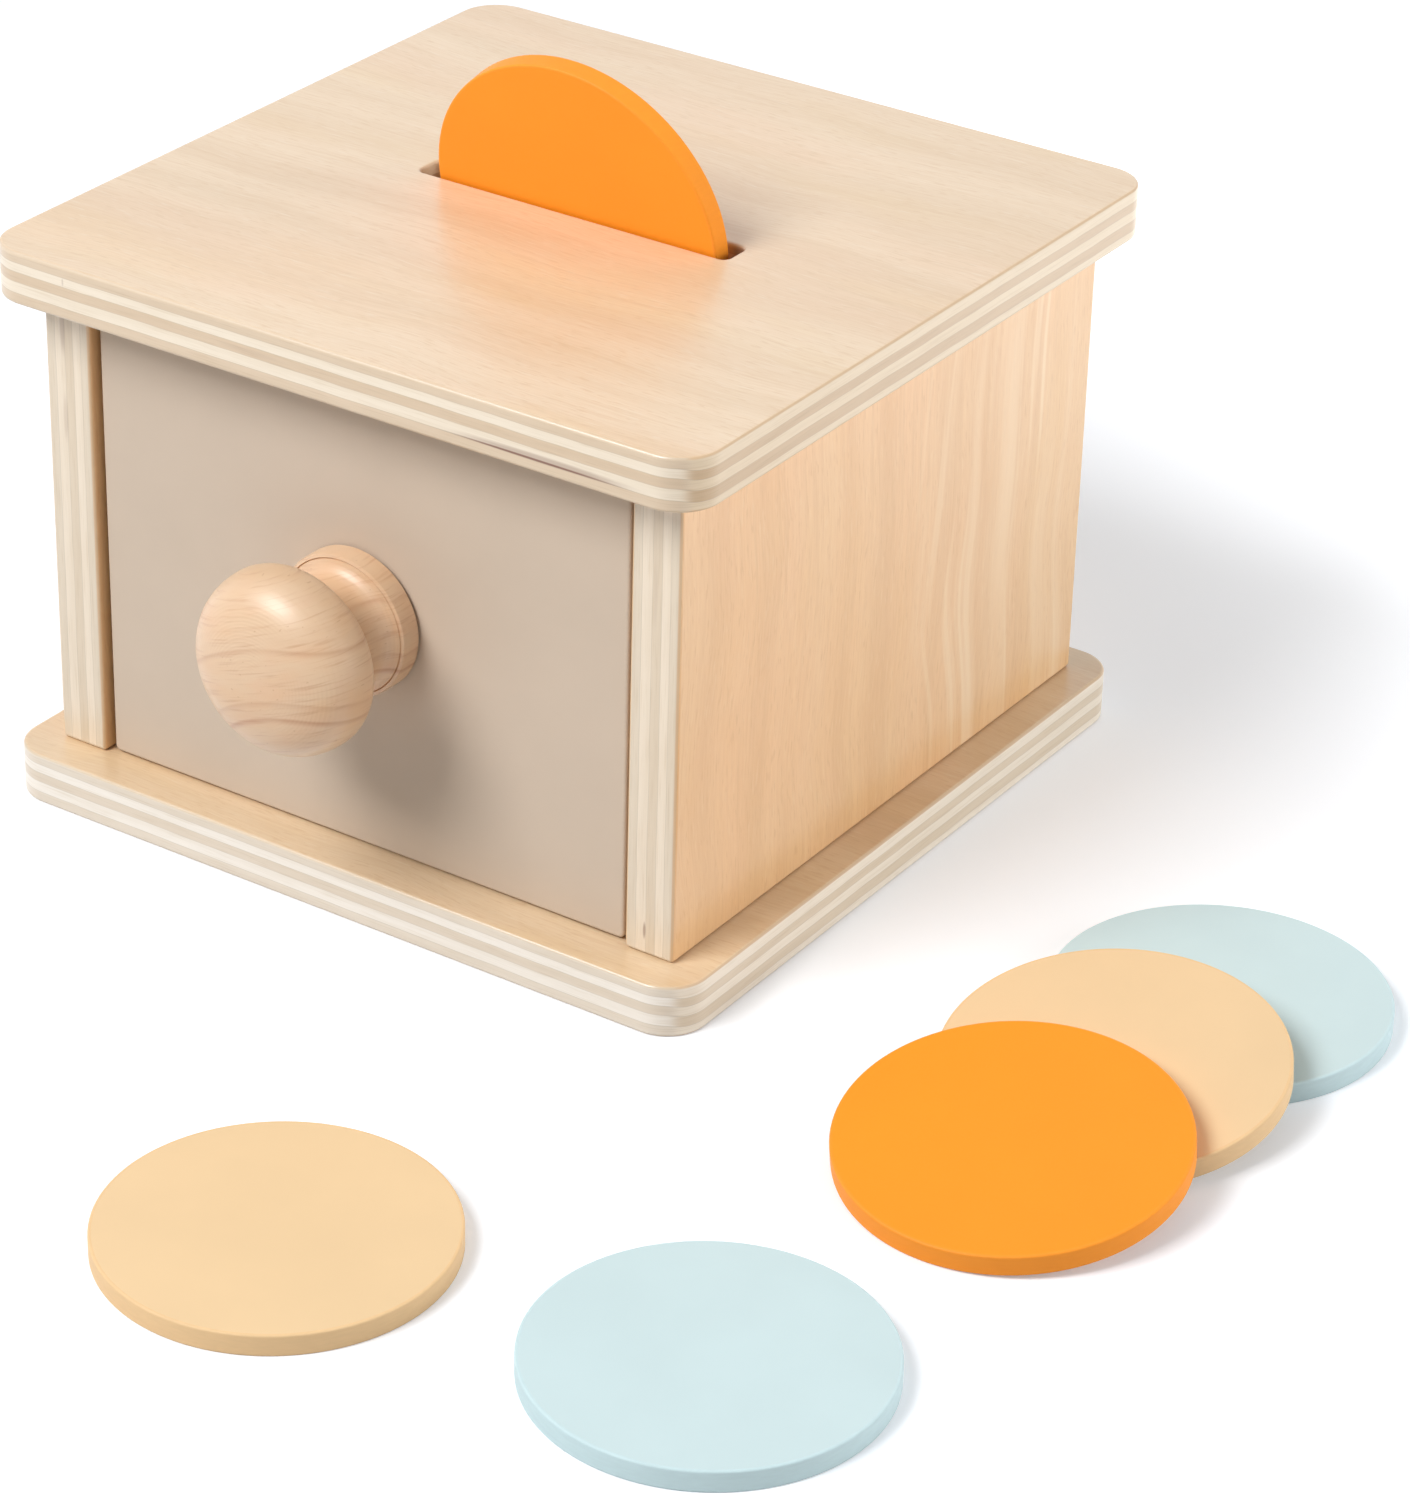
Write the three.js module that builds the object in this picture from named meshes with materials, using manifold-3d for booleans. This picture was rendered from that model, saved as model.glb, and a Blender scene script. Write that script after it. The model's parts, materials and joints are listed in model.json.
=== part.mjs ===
// Object permanence coin box: a plywood box with a coin slot in its top, a drawer that
// catches the coins, and a set of six wooden coins, one of them standing in the slot.
// Millimetres, +Z up. The origin is the middle of the base board's underside, on the table.
// The drawer opens towards -Y, and +X is the right-hand side seen from the drawer.
import * as THREE from "three";
import { mergeVertices } from "three/addons/utils/BufferGeometryUtils.js";
import Module from "manifold-3d";

// Box boards
const BOARD_WIDTH = 150; // top and base board, left to right
const BOARD_DEPTH = 150; // top and base board, front to back
const TOP_THICKNESS = 10;
const BASE_THICKNESS = 10;
const BOARD_CORNER_RADIUS = 8; // upright corners of both boards
const BOARD_ARRIS = 0.8; // eased edges of both boards
const PANEL_HEIGHT = 89.9; // side and back panels
const SIDE_THICKNESS = 10;
const BACK_THICKNESS = 10;
const PANEL_ARRIS = 0.6; // eased upright edges of the side panels
const SIDE_OVERHANG = 7; // boards beyond the side panels
const FRONT_OVERHANG = 8; // boards beyond the panels' front edges
const BACK_OVERHANG = 7; // boards beyond the panels' back edges

// Dowels that join the panels to the boards
const DOWEL_DIAMETER = 5;
const DOWEL_LENGTH = 18;
const DOWEL_IN_BOARD = 6; // the rest of the dowel is in the panel
const DOWEL_CHAMFER = 0.6;
const SIDE_DOWEL_INSET = 22.5; // from a side panel's front and back edges
const BACK_DOWEL_INSET = 23; // from the side panels' inner faces

// Drawer
const FRONT_THICKNESS = 9;
const FRONT_RECESS = 1.5; // drawer face behind the side panels' front edges
const FRONT_CORNER_RADIUS = 1.2;
const FRONT_ARRIS = 0.7;
const WALL_THICKNESS = 6; // drawer sides and back
const WALL_HEIGHT = 56; // low enough to pass under a coin that stands in the slot
const WALL_INSET = 0.5; // drawer sides in from the ends of the drawer front
const TRAY_THICKNESS = 3;
const TRAY_RISE = 3.5; // tray groove above the drawer's lower edge
const GROOVE_DEPTH = 3;
const PEG_DIAMETER = 3; // dowel pegs between the drawer front and its sides
const PEG_LENGTH = 14;
const PEG_IN_FRONT = 5;
const PEG_CHAMFER = 0.4;
const BRAD_DIAMETER = 1.2; // nails through the drawer sides into the drawer back
const BRAD_LENGTH = 18;
const BRAD_HEAD_DIAMETER = 2.4;
const BRAD_HEAD_THICKNESS = 0.8;
const LOWER_FIXING = 16; // height of the lower pegs and brads in the drawer walls
const UPPER_FIXING = 44;

// Turned knob and its screw
const KNOB_RISE = 0.9; // knob's axis above the middle of the drawer front
const KNOB_LENGTH = 30.5;
const KNOB_HEAD_DIAMETER = 34.5;
const KNOB_HEAD_FROM_FACE = 19.5; // widest ring of the head, out from the drawer face
const KNOB_DOME_FULLNESS = 0.69; // 0.55 makes the dome an ellipse, 1 a box
const KNOB_FLANGE_DIAMETER = 27;
const KNOB_FLANGE_THICKNESS = 4.8;
const KNOB_FLANGE_EASE = 0.7;
const KNOB_STEP = 1; // shoulder between the flange and the hollow of the neck
const KNOB_NECK_DIAMETER = 19;
const KNOB_NECK_FROM_FACE = 10; // narrowest ring of the neck
const SCREW_DIAMETER = 4;
const SCREW_IN_KNOB = 14;
const SCREW_POINT = 3;
const SCREW_HEAD_DIAMETER = 8;
const SCREW_HEAD_HEIGHT = 2.6;

// Coins
const COIN_DIAMETER = 60;
const COIN_THICKNESS = 4;
const COIN_EASE = 0.4;
const SLOT_CORNER_RADIUS = 1.5; // upright corners of the coin slot
const SLOT_COIN_RISE = 5.6; // centre of the standing coin above the middle of the top board
const SLOT_COIN_OFFSET = 1.2; // centre of the standing coin, right of the slot's middle

// Clearances
const GLUE_LINE = 0.05; // film between glued faces
const FIT = 0.1; // round each dowel, peg, brad and screw, and round the tray in its grooves
const DRAWER_SIDE_GAP = 1.2; // each side of the drawer front
const DRAWER_RUN_GAP = 0.3; // drawer above the base board
const DRAWER_TOP_GAP = 0.6; // drawer front under the top board
const DRAWER_STOP_GAP = 0.4; // shut drawer to the back panel
const COIN_REST_GAP = 0.3; // coin to the slot's edges, and to the coin that it leans on
const SLOT_END_GAP = 3.5; // slot beyond the coin's rim at each end
const SLOT_SIDE_GAP = 1.4; // slot beyond each face of an upright coin
const SCREW_END_GAP = 2; // knob's bore beyond the screw's point

// Roundness of curved faces
const CORNER_STEPS = 4;
const ROD_SIDES = 12;
const COIN_SIDES = 56;
const KNOB_SIDES = 36;
const CURVE_STEPS = 8;
const OVERCUT = 1; // how far a cutting tool runs past the face that it enters

const birchPly = new THREE.MeshStandardMaterial({ color: 0xead0ae, roughness: 0.6, metalness: 0 });
const beech = new THREE.MeshStandardMaterial({ color: 0xe3c1a4, roughness: 0.45, metalness: 0 });
const taupePaint = new THREE.MeshStandardMaterial({ color: 0xccbba8, roughness: 0.55, metalness: 0 });
const orangePaint = new THREE.MeshStandardMaterial({ color: 0xff9c2e, roughness: 0.5, metalness: 0 });
const peachPaint = new THREE.MeshStandardMaterial({ color: 0xf8d6a8, roughness: 0.5, metalness: 0 });
const bluePaint = new THREE.MeshStandardMaterial({ color: 0xd6ecee, roughness: 0.5, metalness: 0 });
const zincSteel = new THREE.MeshStandardMaterial({ color: 0xb9bcc0, roughness: 0.35, metalness: 1 });

// Levels and faces that several pieces share
const panelBottom = BASE_THICKNESS + GLUE_LINE;
const topUnderside = panelBottom + PANEL_HEIGHT + GLUE_LINE;
const panelFront = -BOARD_DEPTH / 2 + FRONT_OVERHANG;
const panelBack = BOARD_DEPTH / 2 - BACK_OVERHANG;
const panelDepth = panelBack - panelFront;
const panelMiddle = (panelFront + panelBack) / 2;
const sideOuter = BOARD_WIDTH / 2 - SIDE_OVERHANG;
const sideMiddle = sideOuter - SIDE_THICKNESS / 2;
const sideInner = sideOuter - SIDE_THICKNESS;
const backMiddle = panelBack - BACK_THICKNESS / 2;
const slotLength = COIN_DIAMETER + 2 * SLOT_END_GAP;
const slotWidth = COIN_THICKNESS + 2 * SLOT_SIDE_GAP;

const wasm = await Module();
wasm.setup();

/** A closed geometry as a solid that can be cut. */
function solidFrom(geometry) {
  const bare = geometry.clone();
  bare.deleteAttribute("normal");
  bare.deleteAttribute("uv");
  const merged = mergeVertices(bare, 1e-4);
  const vertProperties = new Float32Array(merged.attributes.position.array);
  const triVerts = new Uint32Array(merged.index.array);
  return new wasm.Manifold(new wasm.Mesh({ numProp: 3, vertProperties, triVerts }));
}

/** A geometry with every tool cut out of it. */
function cut(body, tools) {
  let solid = solidFrom(body);
  for (const tool of tools) solid = solid.subtract(solidFrom(tool));
  const mesh = solid.getMesh();
  const geometry = new THREE.BufferGeometry();
  geometry.setAttribute("position", new THREE.BufferAttribute(mesh.vertProperties, 3));
  geometry.setIndex(new THREE.BufferAttribute(mesh.triVerts, 1));
  geometry.computeVertexNormals();
  return geometry;
}

/** A rectangle with round corners, about its own middle. */
function roundedRectangle(width, height, radius) {
  const x = width / 2 - radius;
  const y = height / 2 - radius;
  const quarter = Math.PI / 2;
  const shape = new THREE.Shape();
  shape.absarc(x, y, radius, 0, quarter);
  shape.absarc(-x, y, radius, quarter, 2 * quarter);
  shape.absarc(-x, -y, radius, 2 * quarter, 3 * quarter);
  shape.absarc(x, -y, radius, 3 * quarter, 4 * quarter);
  return shape;
}

/** A plate over its outline in X and Y, its underside at Z = 0, all its edges eased. */
function easedPlate(shape, thickness, arris) {
  const plate = new THREE.ExtrudeGeometry(shape, {
    depth: thickness - 2 * arris,
    curveSegments: CORNER_STEPS,
    bevelSize: arris,
    bevelThickness: arris,
    bevelOffset: -arris,
    bevelSegments: 2,
  });
  return plate.translate(0, 0, arris);
}

/** A prism over its outline in X and Y, standing on Z = 0, its end faces sharp. */
function prism(shape, height) {
  const options = { depth: height, curveSegments: CORNER_STEPS, bevelEnabled: false };
  return new THREE.ExtrudeGeometry(shape, options);
}

/** A rectangular block between two corners. */
function block(low, high) {
  const size = high.map((value, axis) => value - low[axis]);
  const middle = high.map((value, axis) => (value + low[axis]) / 2);
  return new THREE.BoxGeometry(...size).translate(...middle);
}

/** A turned piece on the Z axis, from [radius, height] points that start and end on the axis. */
function turned(points, sides) {
  const profile = points.map(([radius, height]) => new THREE.Vector2(radius, height));
  return new THREE.LatheGeometry(profile, sides).rotateX(Math.PI / 2);
}

/** A plain round rod or drill on the Z axis, from Z = 0 upwards. */
function rod(diameter, length) {
  const radius = diameter / 2;
  return turned([[0, 0], [radius, 0], [radius, length], [0, length]], ROD_SIDES);
}

/** A dowel on the Z axis, from Z = 0 upwards, with both ends chamfered. */
function dowelPin(diameter, length, chamfer) {
  const radius = diameter / 2;
  const low = [[0, 0], [radius - chamfer, 0], [radius, chamfer]];
  const high = low.map(([r, z]) => [r, length - z]).reverse();
  return turned([...low, ...high], ROD_SIDES);
}

function addPiece(parent, name, geometry, material, position = [0, 0, 0], rotation = [0, 0, 0]) {
  const piece = new THREE.Mesh(geometry, material);
  piece.name = name;
  piece.position.set(...position);
  piece.rotation.set(...rotation);
  parent.add(piece);
  return piece;
}

const coinBox = new THREE.Group();
coinBox.name = "object_permanence_coin_box";

// Where the dowels stand, in X and Y: two in each side panel and two in the back panel
const dowelPlaces = [];
for (const [end, name] of [[-1, "front"], [1, "back"]]) {
  const y = panelMiddle + end * (panelDepth / 2 - SIDE_DOWEL_INSET);
  dowelPlaces.push({ name: `left_${name}`, panel: "left", x: -sideMiddle, y });
  dowelPlaces.push({ name: `right_${name}`, panel: "right", x: sideMiddle, y });
}
for (const [end, name] of [[-1, "left"], [1, "right"]]) {
  const x = end * (sideInner - BACK_DOWEL_INSET);
  dowelPlaces.push({ name: `rear_${name}`, panel: "rear", x, y: backMiddle });
}

// Hole from a joint face at a given height: up into the piece above it, or down into the one below
const drillDiameter = DOWEL_DIAMETER + 2 * FIT;
const drillUp = (place, face, depth) =>
  rod(drillDiameter, depth + FIT + OVERCUT).translate(place.x, place.y, face - OVERCUT);
const drillDown = (place, face, depth) =>
  rod(drillDiameter, depth + FIT + OVERCUT).translate(place.x, place.y, face - depth - FIT);
const dowelInPanel = DOWEL_LENGTH - DOWEL_IN_BOARD;

function addBoards(parent) {
  const outline = roundedRectangle(BOARD_WIDTH, BOARD_DEPTH, BOARD_CORNER_RADIUS);

  const base = easedPlate(outline, BASE_THICKNESS, BOARD_ARRIS);
  const baseHoles = dowelPlaces.map((place) => drillDown(place, BASE_THICKNESS, DOWEL_IN_BOARD));
  addPiece(parent, "base_board", cut(base, baseHoles), birchPly);

  const top = easedPlate(outline, TOP_THICKNESS, BOARD_ARRIS);
  const topHoles = dowelPlaces.map((place) => drillUp(place, 0, DOWEL_IN_BOARD));
  const slotOutline = roundedRectangle(slotLength, slotWidth, SLOT_CORNER_RADIUS);
  const slot = prism(slotOutline, TOP_THICKNESS + 2 * OVERCUT).translate(0, 0, -OVERCUT);
  addPiece(parent, "top_board", cut(top, [...topHoles, slot]), birchPly, [0, 0, topUnderside]);
}

function addPanels(parent) {
  const holesFor = (panel, x, y) =>
    dowelPlaces
      .filter((place) => place.panel === panel)
      .map((place) => ({ x: place.x - x, y: place.y - y }))
      .flatMap((place) => [drillUp(place, 0, dowelInPanel), drillDown(place, PANEL_HEIGHT, dowelInPanel)]);

  for (const [side, name] of [[-1, "left"], [1, "right"]]) {
    const x = side * sideMiddle;
    const panel = prism(roundedRectangle(SIDE_THICKNESS, panelDepth, PANEL_ARRIS), PANEL_HEIGHT);
    const drilled = cut(panel, holesFor(name, x, panelMiddle));
    addPiece(parent, `${name}_side_panel`, drilled, birchPly, [x, panelMiddle, panelBottom]);
  }

  const halfWidth = sideInner - GLUE_LINE;
  const halfThickness = BACK_THICKNESS / 2;
  const back = block([-halfWidth, -halfThickness, 0], [halfWidth, halfThickness, PANEL_HEIGHT]);
  const drilledBack = cut(back, holesFor("rear", 0, backMiddle));
  addPiece(parent, "back_panel", drilledBack, birchPly, [0, backMiddle, panelBottom]);
}

function addDowels(parent) {
  for (const place of dowelPlaces) {
    const pin = () => dowelPin(DOWEL_DIAMETER, DOWEL_LENGTH, DOWEL_CHAMFER);
    const lower = [place.x, place.y, BASE_THICKNESS - DOWEL_IN_BOARD];
    const upper = [place.x, place.y, topUnderside - DOWEL_LENGTH + DOWEL_IN_BOARD];
    addPiece(parent, `base_dowel_${place.name}`, pin(), beech, lower);
    addPiece(parent, `top_dowel_${place.name}`, pin(), beech, upper);
  }
}

// Drawer sizes, in a frame at the middle of the drawer face's lower edge with +Y into the box
const frontWidth = 2 * (sideInner - DRAWER_SIDE_GAP);
const frontHeight = topUnderside - BASE_THICKNESS - DRAWER_RUN_GAP - DRAWER_TOP_GAP;
const drawerFace = panelFront + FRONT_RECESS;
const drawerEnd = panelBack - BACK_THICKNESS - DRAWER_STOP_GAP - drawerFace;
const wallStart = FRONT_THICKNESS + GLUE_LINE;
const wallOuter = frontWidth / 2 - WALL_INSET;
const wallMiddle = wallOuter - WALL_THICKNESS / 2;
const wallInner = wallOuter - WALL_THICKNESS;
const drawerBackStart = drawerEnd - WALL_THICKNESS;
const knobHeight = frontHeight / 2 + KNOB_RISE;
const fixings = [["lower", LOWER_FIXING], ["upper", UPPER_FIXING]];
const walls = [[-1, "left"], [1, "right"]];

/** The tray, or the groove that takes it when it is grown by the fit. */
function trayBlock(grow) {
  const reach = GROOVE_DEPTH - FIT + grow;
  const low = [-wallInner - reach, FRONT_THICKNESS - reach, TRAY_RISE - grow];
  const high = [wallInner + reach, drawerBackStart + reach, TRAY_RISE + TRAY_THICKNESS + grow];
  return block(low, high);
}

/** A drill along +Y from a start point, for the pegs and the knob's screw. */
function drillAlongY(diameter, length, x, y, z) {
  return rod(diameter, length).rotateX(-Math.PI / 2).translate(x, y, z);
}

/** A drill for one peg, in line with a drawer side. */
function pegDrill(side, start, depth, height) {
  return drillAlongY(PEG_DIAMETER + 2 * FIT, depth, side * wallMiddle, start, height);
}

function addDrawerFront(drawer) {
  const outline = roundedRectangle(frontWidth, frontHeight, FRONT_CORNER_RADIUS);
  const plate = easedPlate(outline, FRONT_THICKNESS, FRONT_ARRIS);
  plate.rotateX(Math.PI / 2).translate(0, FRONT_THICKNESS, frontHeight / 2);

  const holeStart = FRONT_THICKNESS - PEG_IN_FRONT - FIT;
  const holeDepth = PEG_IN_FRONT + FIT + OVERCUT;
  const pegHoles = walls.flatMap(([side]) =>
    fixings.map(([, height]) => pegDrill(side, holeStart, holeDepth, height)),
  );
  const screwDrill = FRONT_THICKNESS + 2 * OVERCUT;
  const screwHole = drillAlongY(SCREW_DIAMETER + 2 * FIT, screwDrill, 0, -OVERCUT, knobHeight);
  addPiece(drawer, "drawer_front", cut(plate, [trayBlock(FIT), screwHole, ...pegHoles]), taupePaint);
}

function addDrawerWalls(drawer) {
  const holeDepth = PEG_LENGTH - PEG_IN_FRONT + FIT + OVERCUT;
  const backMid = drawerEnd - WALL_THICKNESS / 2;
  const bradDrill = (side, height) =>
    rod(BRAD_DIAMETER + 2 * FIT, BRAD_LENGTH + FIT + OVERCUT)
      .rotateY((-side * Math.PI) / 2)
      .translate(side * (wallOuter + OVERCUT), backMid, height);
  const bradSink = (side, height) =>
    rod(BRAD_HEAD_DIAMETER + 2 * FIT, BRAD_HEAD_THICKNESS + FIT + OVERCUT)
      .rotateY((-side * Math.PI) / 2)
      .translate(side * (wallOuter + OVERCUT), backMid, height);

  for (const [side, name] of walls) {
    const [near, far] = [side * wallInner, side * wallOuter].sort((a, b) => a - b);
    const wall = block([near, wallStart, 0], [far, drawerEnd, WALL_HEIGHT]);
    const holes = fixings.flatMap(([, height]) => [
      pegDrill(side, wallStart - OVERCUT, holeDepth, height),
      bradDrill(side, height),
      bradSink(side, height),
    ]);
    addPiece(drawer, `drawer_${name}_side`, cut(wall, [trayBlock(FIT), ...holes]), birchPly);
  }

  const halfWidth = wallInner - GLUE_LINE;
  const back = block([-halfWidth, drawerBackStart, 0], [halfWidth, drawerEnd, WALL_HEIGHT]);
  const backHoles = walls.flatMap(([side]) => fixings.map(([, height]) => bradDrill(side, height)));
  addPiece(drawer, "drawer_back", cut(back, [trayBlock(FIT), ...backHoles]), birchPly);
  addPiece(drawer, "drawer_tray", trayBlock(0), birchPly);
}

function addDrawerFixings(drawer) {
  const headRadius = BRAD_HEAD_DIAMETER / 2;
  const shankRadius = BRAD_DIAMETER / 2;
  const bradProfile = [
    [0, 0],
    [headRadius, 0],
    [headRadius, BRAD_HEAD_THICKNESS],
    [shankRadius, BRAD_HEAD_THICKNESS],
    [shankRadius, BRAD_LENGTH - BRAD_DIAMETER],
    [0, BRAD_LENGTH],
  ];
  for (const [side, name] of walls) {
    const inwards = [0, (-side * Math.PI) / 2, 0];
    for (const [level, height] of fixings) {
      const peg = dowelPin(PEG_DIAMETER, PEG_LENGTH, PEG_CHAMFER);
      const pegPlace = [side * wallMiddle, FRONT_THICKNESS - PEG_IN_FRONT, height];
      addPiece(drawer, `drawer_peg_${name}_${level}`, peg, beech, pegPlace, [-Math.PI / 2, 0, 0]);

      const brad = turned(bradProfile, ROD_SIDES);
      const bradPlace = [side * wallOuter, drawerEnd - WALL_THICKNESS / 2, height];
      addPiece(drawer, `drawer_brad_${name}_${level}`, brad, zincSteel, bradPlace, inwards);
    }
  }
}

/** The knob's profile as [radius, distance from the drawer face], round its screw bore to the tip. */
function knobProfile() {
  const boreRadius = SCREW_DIAMETER / 2 + FIT;
  const flangeRadius = KNOB_FLANGE_DIAMETER / 2;
  const shoulder = flangeRadius - KNOB_STEP;
  const neckRadius = KNOB_NECK_DIAMETER / 2;
  const headRadius = KNOB_HEAD_DIAMETER / 2;
  const outline = new THREE.Path();
  outline.moveTo(flangeRadius, KNOB_FLANGE_EASE);
  outline.lineTo(flangeRadius, KNOB_FLANGE_THICKNESS - KNOB_FLANGE_EASE);
  outline.lineTo(flangeRadius - KNOB_FLANGE_EASE, KNOB_FLANGE_THICKNESS);
  outline.lineTo(shoulder, KNOB_FLANGE_THICKNESS);
  outline.quadraticCurveTo(neckRadius, KNOB_FLANGE_THICKNESS, neckRadius, KNOB_NECK_FROM_FACE);
  const underHead = (KNOB_NECK_FROM_FACE + KNOB_HEAD_FROM_FACE) / 2;
  outline.bezierCurveTo(neckRadius, underHead, headRadius, underHead, headRadius, KNOB_HEAD_FROM_FACE);
  const domeSide = KNOB_HEAD_FROM_FACE + KNOB_DOME_FULLNESS * (KNOB_LENGTH - KNOB_HEAD_FROM_FACE);
  const domeTop = KNOB_DOME_FULLNESS * headRadius;
  outline.bezierCurveTo(headRadius, domeSide, domeTop, KNOB_LENGTH, 0, KNOB_LENGTH);
  const points = outline.getPoints(CURVE_STEPS).map(({ x, y }) => [x, y]);
  const boreDepth = SCREW_IN_KNOB + SCREW_END_GAP;
  const bore = [[0, boreDepth], [boreRadius, boreDepth], [boreRadius, 0]];
  return [...bore, [flangeRadius - KNOB_FLANGE_EASE, 0], ...points];
}

function addKnob(drawer) {
  const knob = turned(knobProfile(), KNOB_SIDES);
  addPiece(drawer, "drawer_knob", knob, beech, [0, -GLUE_LINE, knobHeight], [Math.PI / 2, 0, 0]);

  const shankRadius = SCREW_DIAMETER / 2;
  const headRadius = SCREW_HEAD_DIAMETER / 2;
  const shank = FRONT_THICKNESS + GLUE_LINE + SCREW_IN_KNOB;
  const screw = turned(
    [
      [0, -SCREW_HEAD_HEIGHT],
      [headRadius / 2, -SCREW_HEAD_HEIGHT],
      [headRadius, -SCREW_HEAD_HEIGHT / 2],
      [headRadius, 0],
      [shankRadius, 0],
      [shankRadius, shank - SCREW_POINT],
      [0, shank],
    ],
    ROD_SIDES,
  );
  const seat = [0, FRONT_THICKNESS + GLUE_LINE, knobHeight];
  addPiece(drawer, "knob_screw", screw, zincSteel, seat, [Math.PI / 2, 0, 0]);
}

/** A coin lying flat, its underside at Z = 0. */
function coinDisc() {
  const radius = COIN_DIAMETER / 2;
  const low = [[0, 0], [radius - COIN_EASE, 0], [radius, COIN_EASE]];
  const high = low.map(([r, z]) => [r, COIN_THICKNESS - z]).reverse();
  return turned([...low, ...high], COIN_SIDES);
}

/** The coin in the slot leans forward until it meets the slot's upper front and lower back edges. */
function addSlotCoin(parent) {
  const room = COIN_THICKNESS + 2 * COIN_REST_GAP;
  const diagonal = Math.hypot(slotWidth, TOP_THICKNESS);
  const lean = Math.acos(room / diagonal) - Math.atan2(TOP_THICKNESS, slotWidth);
  const slide = new THREE.Group();
  slide.position.set(SLOT_COIN_OFFSET, 0, topUnderside + TOP_THICKNESS / 2);
  slide.rotation.x = lean;
  const place = [0, COIN_THICKNESS / 2, SLOT_COIN_RISE];
  addPiece(slide, "slot_coin_orange", coinDisc(), orangePaint, place, [Math.PI / 2, 0, 0]);
  parent.add(slide);
}

// Where the loose coins lie on the table: middle of each underside, in X and Y
const PEACH_SINGLE = new THREE.Vector2(56, -161);
const BLUE_SINGLE = new THREE.Vector2(131, -149);
const BLUE_LOWEST = new THREE.Vector2(144.5, -10.5);
const PEACH_LEANING = new THREE.Vector2(142.4, -43.8);
const ORANGE_LEANING = new THREE.Vector2(141, -74.7);

function addFlatCoin(parent, name, material, middle) {
  addPiece(parent, name, coinDisc(), material, [middle.x, middle.y, 0]);
}

/** A coin with one edge on the table and its underside on the near rim of its neighbour. */
function addLeaningCoin(parent, name, material, middle, neighbour) {
  const towards = neighbour.clone().sub(middle);
  const tilt = Math.atan2(COIN_THICKNESS + COIN_REST_GAP, towards.length());
  const radius = COIN_DIAMETER / 2;
  const lowEdge = towards.clone().setLength(-radius * Math.cos(tilt)).add(middle);
  const heading = new THREE.Group();
  heading.position.set(lowEdge.x, lowEdge.y, 0);
  heading.rotation.z = towards.angle();
  const ramp = new THREE.Group();
  ramp.rotation.y = -tilt;
  addPiece(ramp, name, coinDisc(), material, [radius, 0, 0]);
  heading.add(ramp);
  parent.add(heading);
}

addBoards(coinBox);
addPanels(coinBox);
addDowels(coinBox);

const drawer = new THREE.Group();
drawer.name = "drawer";
drawer.position.set(0, drawerFace, BASE_THICKNESS + DRAWER_RUN_GAP);
addDrawerFront(drawer);
addDrawerWalls(drawer);
addDrawerFixings(drawer);
addKnob(drawer);
coinBox.add(drawer);

addSlotCoin(coinBox);
addFlatCoin(coinBox, "coin_peach_single", peachPaint, PEACH_SINGLE);
addFlatCoin(coinBox, "coin_blue_single", bluePaint, BLUE_SINGLE);
addFlatCoin(coinBox, "coin_blue_lowest", bluePaint, BLUE_LOWEST);
addLeaningCoin(coinBox, "coin_peach_leaning", peachPaint, PEACH_LEANING, BLUE_LOWEST);
addLeaningCoin(coinBox, "coin_orange_leaning", orangePaint, ORANGE_LEANING, PEACH_LEANING);

export default coinBox;
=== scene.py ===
"""Looks of an object permanence coin box: plywood boards, a painted drawer, a turned knob and painted coins.

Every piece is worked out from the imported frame, in metres, and stands where its solid stands.
"""
import json
import math

import bmesh
import bpy
import numpy as np
from bpy.props import FloatProperty, FloatVectorProperty, PointerProperty
from mathutils import Matrix, Vector
from mathutils.geometry import interpolate_bezier


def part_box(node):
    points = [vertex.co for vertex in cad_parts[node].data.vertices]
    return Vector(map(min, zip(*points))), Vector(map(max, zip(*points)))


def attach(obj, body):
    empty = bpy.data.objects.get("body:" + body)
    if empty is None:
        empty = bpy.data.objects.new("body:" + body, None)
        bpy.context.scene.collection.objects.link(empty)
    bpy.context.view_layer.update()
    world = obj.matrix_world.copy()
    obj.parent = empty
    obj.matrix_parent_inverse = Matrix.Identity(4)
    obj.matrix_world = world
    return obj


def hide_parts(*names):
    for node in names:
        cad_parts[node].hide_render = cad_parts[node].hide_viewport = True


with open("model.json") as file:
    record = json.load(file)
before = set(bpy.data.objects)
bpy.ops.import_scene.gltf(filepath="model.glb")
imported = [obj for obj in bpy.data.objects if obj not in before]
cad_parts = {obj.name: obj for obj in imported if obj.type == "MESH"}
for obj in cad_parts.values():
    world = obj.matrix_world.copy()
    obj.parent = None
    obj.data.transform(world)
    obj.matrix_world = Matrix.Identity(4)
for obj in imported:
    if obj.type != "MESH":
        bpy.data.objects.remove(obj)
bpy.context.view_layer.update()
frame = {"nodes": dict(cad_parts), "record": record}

bl_info = {
    "name": "Object permanence coin box",
    "version": (1, 0, 0),
    "blender": (4, 5, 0),
    "location": "3D View > Sidebar > Coin Box",
    "description": "Dresses the solids of a wooden coin box with their finished surfaces",
    "category": "Object",
}

MM = 0.001
X_AXIS = Vector((1, 0, 0))
Y_AXIS = Vector((0, 1, 0))
Z_AXIS = Vector((0, 0, 1))

BODY_OF = {node: body for body, nodes in frame["record"]["behaviour"]["bodies"].items() for node in nodes}

# Roundness of the meshes
CORNER_STEPS = 16
ROUND_STEPS = 112
EASE_STEPS = 4
KNOB_STEPS = 20
EDGE_RING = 0.2 * MM  # narrow flat ring beside an eased edge, which keeps the wide faces flat
WELD = 0.001 * MM
SHARP_ANGLE = math.radians(40)

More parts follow.
